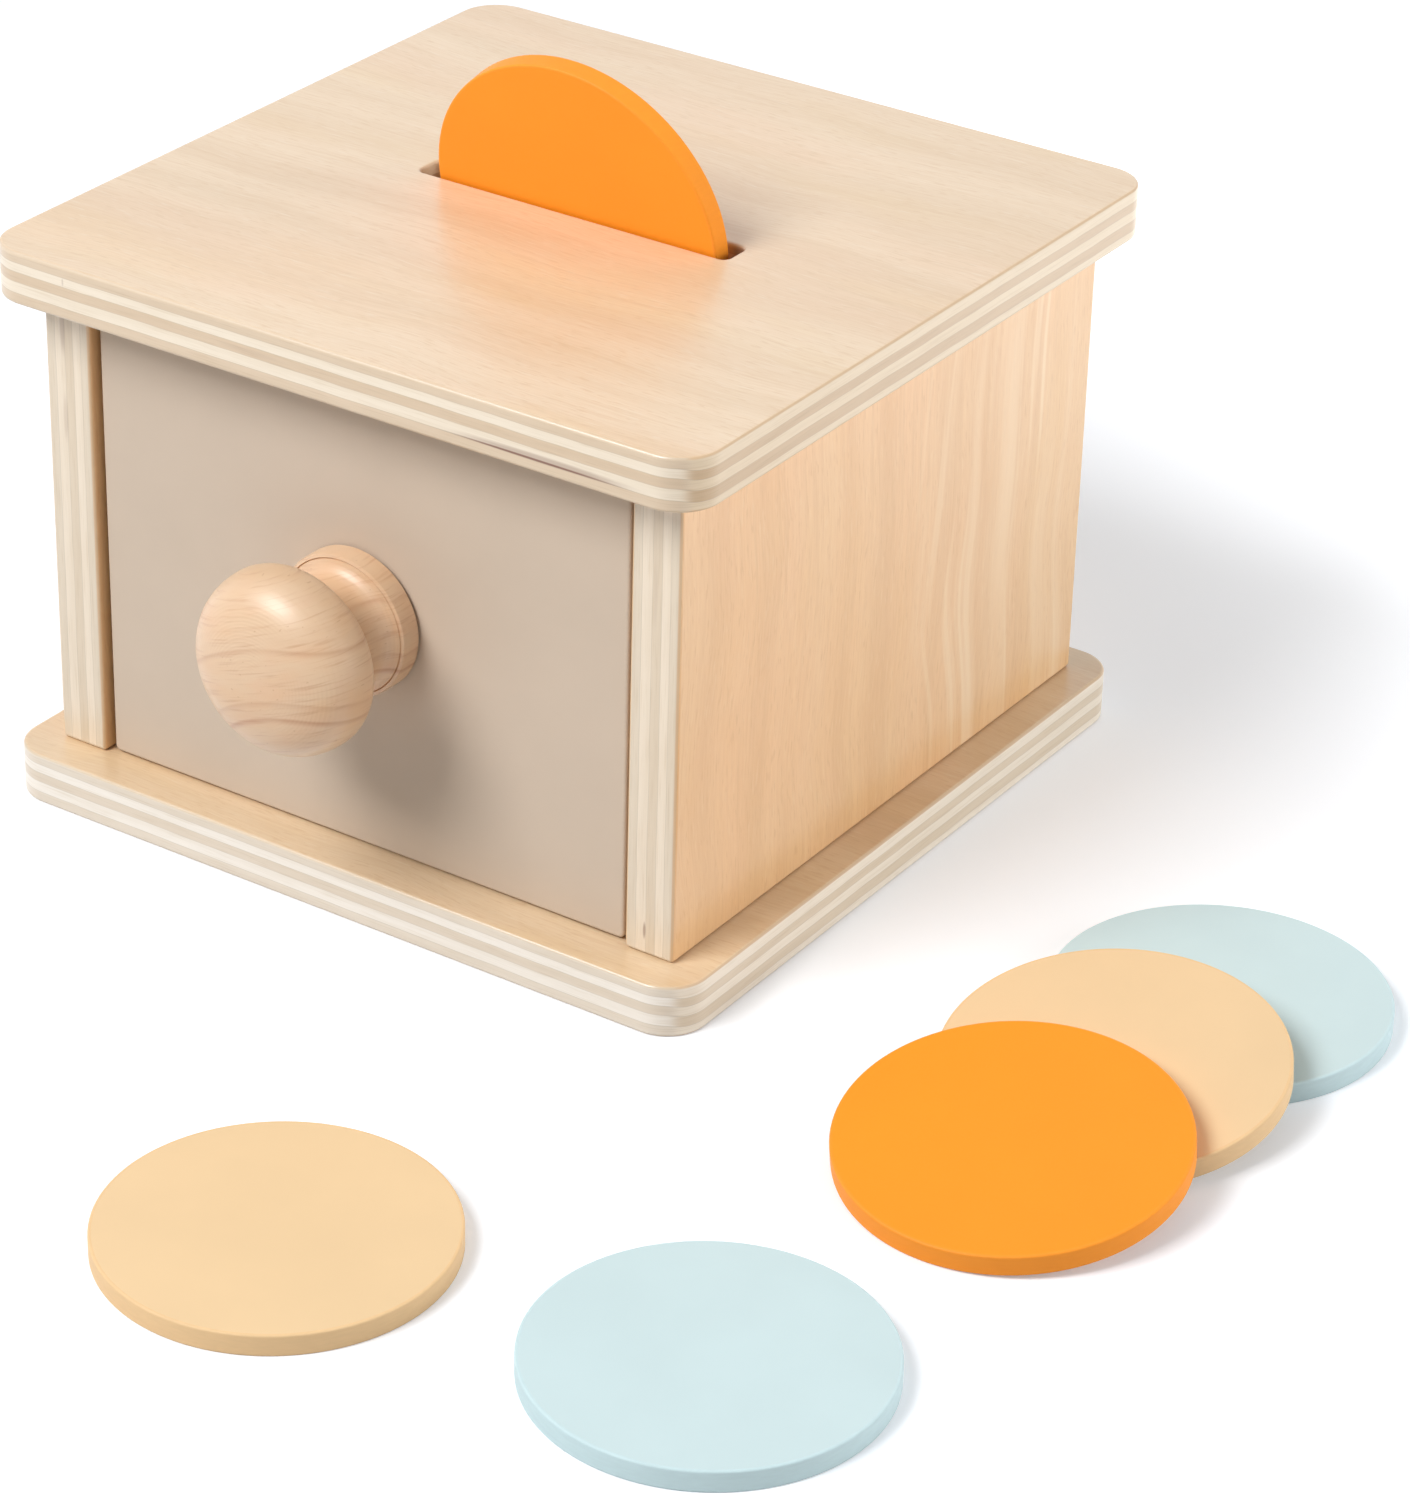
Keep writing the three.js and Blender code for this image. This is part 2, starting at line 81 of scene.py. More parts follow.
# Sockets of a Mix node that works on colours
COLOUR_MIX = {"data_type": "RGBA"}
COLOUR_TINT = {"data_type": "RGBA", "blend_type": "MULTIPLY"}
FIRST, SECOND, MIXED = 6, 7, 2

# Where the plies of a board change, as shares of its thickness from its lower, left or front face
FIVE_PLY = (0.225, 0.435, 0.625, 0.8)
THREE_PLY = (0.3, 0.7)
GLUE_LINE_SHARE = 0.012
PLY_WANDER = 0.4  # the lines between plies wander by this, in millimetres
CORNER_TURN = 0.55  # cosine of twice the angle round a corner where the stripes have swapped
END_SANDING = 0.045  # the lines on the ends of a board lie lower by this share
END_TINT = (1, 0.96, 0.88, 1)  # yellower ends
TOP_END_SHADE = (0.9, 0.84, 0.735, 1)  # painted shade: the top board's ends are browner and darker, to take down the light they catch
MARK_BROWN = "#70380F"

# Marks in the plywood: middle and reach in millimetres along the grain, across it and through the plies,
# from the board's low corner, and how dark the mark is
TOP_MARKS = (
    ((119, 0, 2.3), (23, 2, 0.3), 0.9),  # gap between two plies
    ((121, 0, 2.7), (22, 2, 0.9), 0.45),  # stain above the gap
    ((18.6, 0, 7.1), (0.3, 2, 1), 0.25),  # joint in a ply
    ((60, 0, 5.2), (9, 2, 0.8), 0.1),
    ((109, 75, 5), (7, 7, 12), 0.75),  # painted shade: darker wood inside the right end of the slot
)
LEFT_PANEL_MARKS = (((84, 0, 4), (7, 2, 0.8), 0.3), ((66, 0, 4), (6, 2, 0.7), 0.18))
RIGHT_PANEL_MARKS = (((4.8, 0, 4.1), (2.2, 2, 0.4), 0.6), ((70, 0, 5), (9, 2, 0.6), 0.1))

# Pale wavy figure in the panels begins and is full at these places across the grain, in millimetres
PALE_FIGURE = (-62, -100)

# Growth lines of the knob: height in millimetres above its axis, how dark the line is, and the wood above it
GROWTH_LINES = (
    (-11.8, 0.35, 0.15), (-7.2, 1.0, 0.25), (-3.9, 0.6, 0.05), (5.7, 0.65, 0.15), (7.6, 0.25, 0.15),
    (9.4, 0.25, 0.1), (11.4, 0.2, 0.1), (13.4, 0.2, 0.05), (16, 0.25, 0.05),
)
LOWEST_WOOD = 0.15  # how dark the wood under the lowest line is
LINE_START, LINE_END = -1.1, 0.5  # a line darkens from below and ends above, in millimetres from its middle
GROWTH_REACH = 20  # heights run from minus this to plus this
GROWTH_WOBBLE = 1.4  # the lines wander by this, in millimetres
PITH_BELOW = 36  # middle of the growth rings under the knob's axis
GROWTH_TURN = math.radians(20)  # the knob was screwed on with its layers turned by this
TURNING_STEP = 0.6  # rings of the turning tool, in millimetres

# Lamps: the way to the lamp, its distance and its side in metres
SOFTBOX = (Vector((-0.25, -0.63, 0.74)), 2.0, 0.9)  # in front and above, a little to the left
SCREEN = (Vector((0.88, 0.44, 0.17)), 1.5, 1.0)  # white, to the right and behind
BRIGHT_WALL = (-0.5, 0.86, 0)  # way to the brightest part of the room, behind the box and to its left
WHITE = (1, 1, 1, 1)
FLOOR_HALF = 3.0  # half a side of the floor, in metres
FRAME_HEIGHT = 36  # of the camera, in millimetres

# Where the paper turns to plain white: what is measured, from where or which way, and its start and its end
# in metres
WHITE_PAPER = (
    ("DISTANCE", (0, 0, 0), 0.45, 1.0),  # far from the box
    ("DOT_PRODUCT", (0.6, 0.8, 0), 0.12, 0.32),  # painted light: the paper glows whiter behind the box and fades the box's shadow there
)


def linear(hex_colour):
    """An sRGB hex colour as linear red, green and blue."""
    channels = [int(hex_colour[start:start + 2], 16) / 255 for start in (1, 3, 5)]
    return tuple(c / 12.92 if c <= 0.04045 else ((c + 0.055) / 1.055) ** 2.4 for c in channels)


def size_prop(name, description, default_mm):
    return FloatProperty(
        name=name, description=description, default=default_mm * MM, min=0, precision=4, unit="LENGTH",
    )


def colour_prop(name, description, default):
    return FloatVectorProperty(
        name=name, description=description, default=linear(default), min=0, max=1, subtype="COLOR",
    )


def level_prop(name, description, default):
    return FloatProperty(name=name, description=description, default=default, min=0)


def angle_prop(name, description, degrees):
    return FloatProperty(name=name, description=description, default=math.radians(degrees), subtype="ANGLE")


def width_of(node):
    low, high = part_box(node)
    return (high.x - low.x) / MM


class BoardSettings(bpy.types.PropertyGroup):
    """Sizes and colours of the plywood boards and panels."""

    corner_radius: size_prop("Corner radius", "Upright corners of the top and base boards", 8)
    board_ease: size_prop("Board ease", "Rounding of the boards' edges", 0.6)
    panel_corner: size_prop("Panel corner", "Corners of the panels, seen flat on", 0.9)
    panel_ease: size_prop("Panel ease", "Rounding of the panels' edges", 0.7)
    slot_length: size_prop("Slot length", "Coin slot, left to right", 67)
    slot_width: size_prop("Slot width", "Coin slot, front to back", 6.8)
    slot_corner: size_prop("Slot corner", "Upright corners of the coin slot", 1.5)
    top_veneer: colour_prop("Top veneer", "Face of the top board", "#E6CFB2")
    top_light: colour_prop("Top end grain", "Plies of the top board cut across their fibres", "#F0E2CD")
    top_dark: colour_prop("Top long grain", "Plies of the top board cut along their fibres", "#D7BFA1")
    base_veneer: colour_prop("Base veneer", "Face of the base board", "#E0C8A7")
    base_light: colour_prop("Base end grain", "Plies of the base board cut across their fibres", "#F7EFE4")
    base_dark: colour_prop("Base long grain", "Plies of the base board cut along their fibres", "#E2D3BF")
    side_veneer: colour_prop("Side veneer", "Faces of the side and back panels", "#E9C190")
    side_light: colour_prop("Side end grain", "Plies of the panels cut across their fibres", "#ECDDC8")
    side_dark: colour_prop("Side long grain", "Plies of the panels cut along their fibres", "#DDCCB4")


class DrawerSettings(bpy.types.PropertyGroup):
    """Sizes and colours of the drawer and its knob."""

    front_corner: size_prop("Front corner", "Corners of the drawer front", 1.2)
    front_ease: size_prop("Front ease", "Rounding of the drawer front's edges", 0.6)
    wall_corner: size_prop("Wall corner", "Corners of the drawer walls, seen flat on", 0.8)
    wall_ease: size_prop("Wall ease", "Rounding of the drawer walls' edges", 0.4)
    paint: colour_prop("Drawer paint", "Paint on the drawer front", "#CEBDAB")
    wall_veneer: colour_prop("Drawer walls", "Bare wood inside the drawer", "#EACFAD")
    wall_light: colour_prop("Wall end grain", "Plies of the walls cut across their fibres", "#F0E4D1")
    wall_dark: colour_prop("Wall long grain", "Plies of the walls cut along their fibres", "#DDCCB2")
    flange_diameter: size_prop("Flange diameter", "Foot of the knob on the drawer face", 27)
    flange_thickness: size_prop("Flange thickness", "Straight band of the knob's foot", 4.8)
    flange_ease: size_prop("Flange ease", "Rounding of the foot's edges", 0.7)
    foot_step: size_prop("Foot step", "Shadow gap under the rim of the knob's foot", 0.35)
    groove: size_prop("Groove", "Fine turned line between the foot and the hollow of the neck", 0.3)
    neck_diameter: size_prop("Neck diameter", "Narrowest ring of the knob", 19)
    neck_from_face: size_prop("Neck from face", "Narrowest ring, out from the drawer face", 10)
    head_from_face: size_prop("Head from face", "Widest ring, out from the drawer face", 19.5)
    dome_fullness: FloatProperty(
        name="Dome fullness", description="0.55 makes the dome an ellipse, 1 a box", default=0.69,
        min=0, max=1,
    )
    knob_light: colour_prop("Knob earlywood", "Pale wood between the growth lines", "#DEBE9C")
    knob_dark: colour_prop("Knob latewood", "Brown growth lines", "#B27850")


class CoinSettings(bpy.types.PropertyGroup):
    """Sizes and colours of the coins."""

    diameter: size_prop("Diameter", "Across a coin", width_of("coin_peach_single"))
    ease: size_prop("Ease", "Rounding of a coin's edges", 0.35)
    orange: colour_prop("Orange", "Faces of the orange coins", "#FF9B22")
    peach: colour_prop("Peach", "Faces of the peach coins", "#EBCCA0")
    blue: colour_prop("Blue", "Faces of the pale blue coins", "#CADFE2")
    orange_rim: colour_prop("Orange rim", "Rims of the orange coins", "#FF9B2B")
    peach_rim: colour_prop("Peach rim", "Rims of the peach coins", "#EBC797")
    blue_rim: colour_prop("Blue rim", "Rims of the pale blue coins", "#C9E0E4")


class StageSettings(bpy.types.PropertyGroup):
    """Light, floor and camera."""

    front_sky: level_prop("Front sky", "Light from the room in front", 0.12)
    back_sky: level_prop("Back sky", "Light from the wall behind", 0.62)
    key: level_prop("Key", "Light of the softbox on what faces it", 0.86)
    fill: level_prop("Fill", "Light of the screen on what faces it", 0.74)
    floor: colour_prop("Floor", "Seamless paper as it is seen", "#EAEDF2")
    floor_bounce: colour_prop("Floor bounce", "Seamless paper as it throws light back", "#CDCDCD")
    floor_lift: level_prop("Floor lift", "Paper lifted to white where seen", 0.25)
    lens: FloatProperty(
        name="Lens", description="Focal length on a 36 mm high frame", default=119.2, unit="CAMERA",
    )
    distance: size_prop("Distance", "Camera to the middle of the box, along its axis", 908.7)
    shift_right: size_prop("Right", "Camera to the right of the box's middle", 23.56)
    shift_down: size_prop("Down", "Camera below the line to the box's middle", 48.07)
    aim_height: size_prop("Aim height", "Middle of the box above the table", 55)
    azimuth: angle_prop("Azimuth", "Camera round the box", 33.2)
    elevation: angle_prop("Elevation", "Camera above the table", 29.18)
    roll: angle_prop("Roll", "Turn of the frame", 1.55)


class CoinBoxSettings(bpy.types.PropertyGroup):
    """All settings of the coin box."""

    boards: PointerProperty(type=BoardSettings)
    drawer: PointerProperty(type=DrawerSettings)
    coins: PointerProperty(type=CoinSettings)
    stage: PointerProperty(type=StageSettings)


# Nodes


def add_node(tree, kind, settings=None, inputs=None, stops=None):
    """Adds a node with its settings, its input values or links, and its ramp's stops."""
    node = tree.nodes.new(kind)
    for name, value in (settings or {}).items():
        setattr(node, name, value)
    for name, value in (inputs or {}).items():
        socket = node.inputs[name]
        if isinstance(value, bpy.types.NodeSocket):
            tree.links.new(value, socket)
        else:
            socket.default_value = value
    if stops:
        elements = node.color_ramp.elements
        while len(elements) < len(stops):
            elements.new(1)
        for element, (position, level) in zip(elements, stops):
            element.position = position
            element.color = (level, level, level, 1)
    return node


def new_material(name, finish):
    """A node material with its shader and output, and its node tree; finish has the shader's even values."""
    material = bpy.data.materials.new(name)
    material.use_nodes = True
    tree = material.node_tree
    tree.nodes.clear()
    shader = add_node(tree, "ShaderNodeBsdfPrincipled", inputs=finish)
    add_node(tree, "ShaderNodeOutputMaterial", inputs={"Surface": shader.outputs["BSDF"]})
    return material, tree, shader


def opaque(colour):
    return (*colour, 1)


def shade(colour, factor):
    """A colour made darker or lighter by a factor."""
    return opaque(min(1, channel * factor) for channel in colour)


def warm(colour, factor):
    """A colour made darker and warmer, as denser wood is."""
    return opaque(channel * factor ** power for channel, power in zip(colour, (0.6, 1.1, 1.8)))


def pale(colour, amount):
    """A colour made paler and silvery, as the figure in birch is."""
    return opaque(min(1, channel * (1 + amount * gain)) for channel, gain in zip(colour, (0.1, 0.23, 0.47)))


def placed_millimetres(tree, origin, grain, stack):
    """Places on a piece in millimetres along, across and through its grain, and its facing likewise."""
    turn = Matrix((grain, stack.cross(grain), stack))
    coordinates = add_node(tree, "ShaderNodeTexCoord")
    place = add_node(tree, "ShaderNodeMapping", inputs={
        "Vector": coordinates.outputs["Object"],
        "Location": -(turn @ origin) / MM,
        "Rotation": turn.to_euler(),
        "Scale": (1 / MM, 1 / MM, 1 / MM),
    })
    facing = add_node(tree, "ShaderNodeMapping", {"vector_type": "VECTOR"}, {
        "Vector": coordinates.outputs["Normal"], "Rotation": turn.to_euler(),
    })
    return place.outputs["Vector"], facing.outputs["Vector"]


def sized_noise(tree, place, size, detail=2.0, roughness=0.5):
    """Noise whose grains have this size in millimetres along each axis."""
    stretched = add_node(tree, "ShaderNodeMapping", inputs={
        "Vector": place, "Scale": tuple(1 / reach for reach in size),
    })
    noise = add_node(tree, "ShaderNodeTexNoise", inputs={
        "Vector": stretched.outputs["Vector"], "Scale": 1.0, "Detail": detail, "Roughness": roughness,
    })
    return noise.outputs["Fac"]


def stain(tree, under, over, pattern, low, high, most=1.0, settings=COLOUR_MIX):
    """A colour laid over another, up to a share, where a pattern passes from low to high."""
    share = add_node(tree, "ShaderNodeMapRange", {"interpolation_type": "SMOOTHSTEP"}, {
        "Value": pattern, "From Min": low, "From Max": high, "To Max": most,
    })
    laid = add_node(tree, "ShaderNodeMix", settings, {
        "Factor": share.outputs["Result"], FIRST: under, SECOND: over,
    })
    return laid.outputs[MIXED]


def grained(tree, tone, place, layers):
    """Stains laid one over the other, each with the size of its grains in millimetres."""
    for size, detail, low, high, most, colour, settings in layers:
        tone = stain(tree, tone, colour, sized_noise(tree, place, size, detail), low, high, most, settings)
    return tone


def wandering(tree, place, scale, reach):
    """Places shifted across the grain by a slow noise, so that fibres aren't quite straight."""
    drift = add_node(tree, "ShaderNodeTexNoise", inputs={"Vector": place, "Scale": scale, "Detail": 1.0})
    shift = add_node(tree, "ShaderNodeVectorMath", {"operation": "MULTIPLY_ADD"}, {
        0: drift.outputs["Color"], 1: (0, reach, 0), 2: place,
    })
    return shift.outputs["Vector"]


def finish_surface(tree, shader, tone, texture, roughness, relief=None, normal=None):
    """Gives a shader its colour, and a fine texture as its roughness, between two values, and as its relief,
    of a strength and a height in millimetres, on top of a normal where one is given."""
    tree.links.new(tone, shader.inputs["Base Color"])
    least, most = roughness
    rough = add_node(tree, "ShaderNodeMapRange", inputs={"Value": texture, "To Min": least, "To Max": most})
    tree.links.new(rough.outputs["Result"], shader.inputs["Roughness"])
    if relief:
        strength, height = relief
        bump = add_node(tree, "ShaderNodeBump", inputs={
            "Height": texture, "Strength": strength, "Distance": height * MM,
        })
        tree.links.new(bump.outputs["Normal"], shader.inputs["Normal"])
        if normal is not None:
            tree.links.new(normal, bump.inputs["Normal"])


def rotary_veneer(tree, place, veneer, pale_from):
    """Colour of a rotary-cut birch face: broad bands, fine fibres and flecks, and a silvery wavy figure that
    begins at a place across the face."""
    fibre_place = wandering(tree, place, 0.02, 10)
    tone = grained(tree, warm(veneer, 0.955), fibre_place, (
        ((220, 11, 11), 3.0, 0.38, 0.62, 1.0, shade(veneer, 1.035), COLOUR_MIX),  # broad bands
        ((90, 24, 24), 2.0, 0.42, 0.68, 0.8, (1, 0.95, 0.93, 1), COLOUR_TINT),  # pink blush
        ((70, 17, 17), 2.0, 0.5, 0.72, 0.8, (0.985, 0.97, 0.9, 1), COLOUR_TINT),  # straw tone
        ((45, 1.3, 1.3), 3.0, 0.52, 0.74, 0.55, warm(veneer, 0.87), COLOUR_MIX),  # brown streaks
    ))
    fibres = sized_noise(tree, fibre_place, (11, 0.5, 0.5), detail=4.0, roughness=0.6)
    tone = stain(tree, tone, (0.955, 0.92, 0.875, 1), fibres, 0.66, 0.34, settings=COLOUR_TINT)
    # Vessel flecks, about 3 mm long and drawn 0.45 mm wide, so that they show
    tone = grained(tree, tone, fibre_place, (
        ((3.2, 0.45, 0.45), 1.0, 0.57, 0.73, 0.6, warm(veneer, 0.79), COLOUR_MIX),
        ((4.0, 0.5, 0.51), 1.0, 0.6, 0.78, 0.35, pale(veneer, 0.6), COLOUR_MIX),
    ))
    if pale_from is not None:
        across = add_node(tree, "ShaderNodeSeparateXYZ", inputs={"Vector": place}).outputs["Y"]
        figure_place = wandering(tree, place, 0.013, 24)
        broad = sized_noise(tree, figure_place, (150, 8, 8))
        figured = stain(tree, tone, pale(veneer, 0.75), broad, 0.48, 0.72, 0.75)
        fine = sized_noise(tree, figure_place, (90, 2.6, 2.8), detail=1.0)
        figured = stain(tree, figured, pale(veneer, 1.0), fine, 0.56, 0.74, 0.8)
        tone = stain(tree, tone, figured, across, *pale_from)
    return tone, fibres


def ply_edge(tree, place, facing, thickness, plies, light, dark, marks, end_tint_and_shade):
    """Colour of a sawn edge: a ply is pale where it is cut across its fibres and darker where it is cut
    along them, so the stripes swap round each corner; thin glue lines part them, and marks darken them."""
    # End grain: the share of the surface that faces along the fibres of the outer plies
    normal = add_node(tree, "ShaderNodeSeparateXYZ", inputs={"Vector": facing}).outputs
    angle = add_node(tree, "ShaderNodeMath", {"operation": "ARCTAN2"}, {0: normal["Y"], 1: normal["X"]})
    twice = add_node(tree, "ShaderNodeMath", {"operation": "MULTIPLY"}, {0: angle.outputs[0], 1: 2.0})
    turned = add_node(tree, "ShaderNodeMath", {"operation": "COSINE"}, {0: twice.outputs[0]})
    end_share = add_node(tree, "ShaderNodeMapRange", {"interpolation_type": "SMOOTHSTEP"}, {
        "Value": turned.outputs[0], "From Min": -CORNER_TURN, "From Max": CORNER_TURN,
    }).outputs["Result"]

    # Depth through the plies, as a share of the thickness
    through = add_node(tree, "ShaderNodeSeparateXYZ", inputs={"Vector": place}).outputs["Z"]
    waviness = sized_noise(tree, place, (14, 14, 30))
    depth = add_node(tree, "ShaderNodeMath", {"operation": "MULTIPLY_ADD"}, {
        0: waviness, 1: PLY_WANDER, 2: through,
    })
    depth = add_node(tree, "ShaderNodeMath", {"operation": "MULTIPLY_ADD"}, {
        0: depth.outputs[0], 1: MM / thickness, 2: -PLY_WANDER / 2 * MM / thickness,
    })
    depth = add_node(tree, "ShaderNodeMath", {"operation": "MULTIPLY_ADD"}, {
        0: end_share, 1: END_SANDING, 2: depth.outputs[0],
    }).outputs[0]
    crossing_stops = [(0, 0), *((level, (index + 1) % 2) for index, level in enumerate(plies))]
    outer_stops = [(0, 1), (plies[0], 0), (plies[-1], 1)]
    stripes = []
    for stops in (crossing_stops, outer_stops):
        ramp = add_node(tree, "ShaderNodeValToRGB", inputs={"Fac": depth}, stops=stops)
        ramp.color_ramp.interpolation = "CONSTANT"
        stripes.append(ramp.outputs["Color"])
    crossing, outer = stripes
    glue_stops = [(0, 0)]
    for level in plies:
        glue_stops += [(level - GLUE_LINE_SHARE, 0), (level, 1), (level + GLUE_LINE_SHARE, 0)]
    glue = add_node(tree, "ShaderNodeValToRGB", inputs={"Fac": depth}, stops=glue_stops)

    side_share = add_node(tree, "ShaderNodeMath", {"operation": "SUBTRACT"}, {0: 1.0, 1: end_share})
    end_grain = add_node(tree, "ShaderNodeMix", inputs={
        "Factor": crossing, 2: end_share, 3: side_share.outputs[0],
    }).outputs[0]
    long_tone = stain(tree, opaque(dark), warm(dark, 1.05), outer, 0, 1)
    tone = stain(tree, long_tone, opaque(light), end_grain, 0, 1)
    # The ends take a tint; on the top board it is a painted shade that darkens its ends
    tone = stain(tree, tone, end_tint_and_shade, end_share, 0, 1, settings=COLOUR_TINT)
    tone = grained(tree, tone, place, (
        ((30, 30, 1.5), 3.0, 0.35, 0.7, 1.0, (0.945, 0.93, 0.905, 1), COLOUR_TINT),
        ((9, 9, 0.3), 2.0, 0.5, 0.72, 0.9, (0.91, 0.885, 0.84, 1), COLOUR_TINT),
        ((5, 5, 0.25), 2.0, 0.56, 0.75, 0.6, (1.05, 1.04, 1.03, 1), COLOUR_TINT),
    ))
    tone = stain(tree, tone, shade(dark, 0.7), glue.outputs["Color"], 0, 1, 0.5)
    for middle, reach, darkness in marks:
        offset = add_node(tree, "ShaderNodeMapping", {"vector_type": "TEXTURE"}, {
            "Vector": place, "Location": middle, "Scale": reach,
        }).outputs["Vector"]
        distance = add_node(tree, "ShaderNodeVectorMath", {"operation": "LENGTH"}, {0: offset})
        tone = stain(tree, tone, opaque(linear(MARK_BROWN)), distance.outputs["Value"], 1.0, 0.35, darkness)
    return tone, end_share


def plywood(name, node, grain, stack, colours, plies=FIVE_PLY, marks=(), pale_from=None, end_tint_and_shade=END_TINT):
    """Birch plywood, sanded and clear lacquered: a softly streaked face with a satin sheen that mirrors
    bright things near it, and striped plies on every edge.

    Grain is the fibres' way on the faces, and stack is the way through the plies. Colours are those of
    the face, of end grain and of long grain.
    """
    low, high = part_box(node)
    veneer, light, dark = colours
    material, tree, shader = new_material(name, {
        "Specular IOR Level": 0.3, "Coat Weight": 1.0, "Coat IOR": 1.7, "Coat Roughness": 0.3,
    })
    place, facing = placed_millimetres(tree, low, grain, stack)
    face, fibres = rotary_veneer(tree, place, veneer, pale_from)
    thickness = stack.dot(high - low)
    edge, end_share = ply_edge(tree, place, facing, thickness, plies, light, dark, marks, end_tint_and_shade)

    # The sanded arris between face and edge shows as a thin line painted darker than the face, a painted
    # shade against the light it catches, and brown across the grain
    upright = add_node(tree, "ShaderNodeSeparateXYZ", inputs={"Vector": facing}).outputs["Z"]
    level = add_node(tree, "ShaderNodeMath", {"operation": "ABSOLUTE"}, {0: upright}).outputs[0]
    line = stain(tree, shade(veneer, 0.86), warm(veneer, 0.7), end_share, 0.2, 0.8)
    shaded_arris = stain(tree, edge, line, level, 0.2, 0.5, 0.85)
    surface = stain(tree, shaded_arris, face, level, 0.8, 0.95)
    finish_surface(tree, shader, surface, fibres, (0.5, 0.66), (0.25, 0.06))
    return material


def painted_wood(name, face_colour, rim_colour):
    """Matt water-based paint on sanded wood: an even colour with a faint cloudiness, the fine texture of
    dried paint, and another tone on the sawn rim, where the wood drinks more paint."""
    material, tree, shader = new_material(name, {"Specular IOR Level": 0.35})
    place, _ = placed_millimetres(tree, Vector(), X_AXIS, Z_AXIS)
    cloud = sized_noise(tree, place, (22, 22, 22), detail=3.0)
    face = stain(tree, shade(face_colour, 0.955), shade(face_colour, 1.025), cloud, 0, 1)
    saw_marks = sized_noise(tree, place, (2.5, 2.5, 0.5))
    edge = stain(tree, shade(rim_colour, 0.96), shade(rim_colour, 1.03), saw_marks, 0, 1)
    rim = add_node(tree, "ShaderNodeAttribute", {"attribute_name": "rim"}).outputs["Fac"]
    # Dried roller marks, about 0.6 mm across
    texture = sized_noise(tree, place, (0.6, 0.6, 0.6), detail=4.0)
    finish_surface(tree, shader, stain(tree, face, edge, rim, 0, 1), texture, (0.5, 0.64), (0.18, 0.05))
    return material


def growth_stops():
    """Stops of a ramp from the lowest to the highest growth layer: brown at each line, paler between."""
    below = LOWEST_WOOD
    stops = [(0, below)]
    for line, darkness, above in GROWTH_LINES:
        for offset, level in ((LINE_START, below), (0, darkness), (LINE_END, above)):
            stops.append((0.5 + 0.5 * (line + offset) / GROWTH_REACH, level))
        below = above
    return stops


def turned_beech(name, middle, light, dark):
    """Turned beech, sanded and satin lacquered: growth rings cut across show as bowed brown lines over the
    dome, with pale wood between them, fine flecks, and the rings of the turning tool in the highlight."""
    material, tree, shader = new_material(name, {"Coat Weight": 0.75, "Coat Roughness": 0.36})
    fibre = Vector((math.cos(GROWTH_TURN), 0, math.sin(GROWTH_TURN)))
    layer = Vector((-math.sin(GROWTH_TURN), 0, math.cos(GROWTH_TURN)))
    place, _ = placed_millimetres(tree, middle - layer * PITH_BELOW * MM, fibre, layer)
    wobble = add_node(tree, "ShaderNodeTexNoise", inputs={"Vector": place, "Scale": 0.045, "Detail": 2.0})
    flat = add_node(tree, "ShaderNodeVectorMath", {"operation": "MULTIPLY"}, {0: place, 1: (1, 0, 1)})
    from_pith = add_node(tree, "ShaderNodeVectorMath", {"operation": "LENGTH"}, {0: flat.outputs["Vector"]})
    height = add_node(tree, "ShaderNodeMath", {"operation": "MULTIPLY_ADD"}, {
        0: wobble.outputs["Fac"], 1: GROWTH_WOBBLE, 2: from_pith.outputs["Value"],
    })
    axis_height = PITH_BELOW + GROWTH_WOBBLE / 2
    share = add_node(tree, "ShaderNodeMath", {"operation": "MULTIPLY_ADD"}, {
        0: height.outputs[0], 1: 0.5 / GROWTH_REACH, 2: 0.5 - 0.5 * axis_height / GROWTH_REACH,
    })
    rings = add_node(tree, "ShaderNodeValToRGB", inputs={"Fac": share.outputs[0]}, stops=growth_stops())
    ringed = stain(tree, opaque(light), opaque(dark), rings.outputs["Color"], 0, 1.15, 0.75)
    tone = grained(tree, ringed, place, (
        ((15, 15, 7), 2.0, 0.62, 0.3, 0.55, opaque(light), COLOUR_MIX),  # the lines fade in places
        ((16, 16, 5), 3.0, 0.38, 0.66, 1.0, (1, 0.945, 0.885, 1), COLOUR_TINT),
        ((9, 9, 5), 2.0, 0.5, 0.7, 0.8, (1, 0.965, 0.965, 1), COLOUR_TINT),
        ((8, 8, 0.45), 3.0, 0.5, 0.78, 0.38, opaque(dark), COLOUR_MIX),  # flecks
        ((0.7, 2, 0.45), 0.0, 0.8, 0.86, 0.3, shade(dark, 0.85), COLOUR_MIX),  # pores
    ))
    # Rings of the turning tool, a fiftieth of a millimetre deep
    radius = add_node(tree, "ShaderNodeVectorMath", {"operation": "DISTANCE"}, {
        0: flat.outputs["Vector"], 1: (0, 0, PITH_BELOW),
    })
    uneven = sized_noise(tree, place, (5, 5, 5), detail=3.0)
    phase = add_node(tree, "ShaderNodeMath", {"operation": "MULTIPLY_ADD"}, {
        0: radius.outputs["Value"], 1: 2 * math.pi / TURNING_STEP, 2: uneven,
    })
    wave = add_node(tree, "ShaderNodeMath", {"operation": "SINE"}, {0: phase.outputs[0]})
    turning = add_node(tree, "ShaderNodeBump", inputs={
        "Height": wave.outputs[0], "Strength": 0.35, "Distance": 0.02 * MM,
    })
    fibres = sized_noise(tree, place, (6, 6, 0.45), detail=3.0)
    finish_surface(tree, shader, tone, fibres, (0.4, 0.54), (0.25, 0.05), turning.outputs["Normal"])
    return material


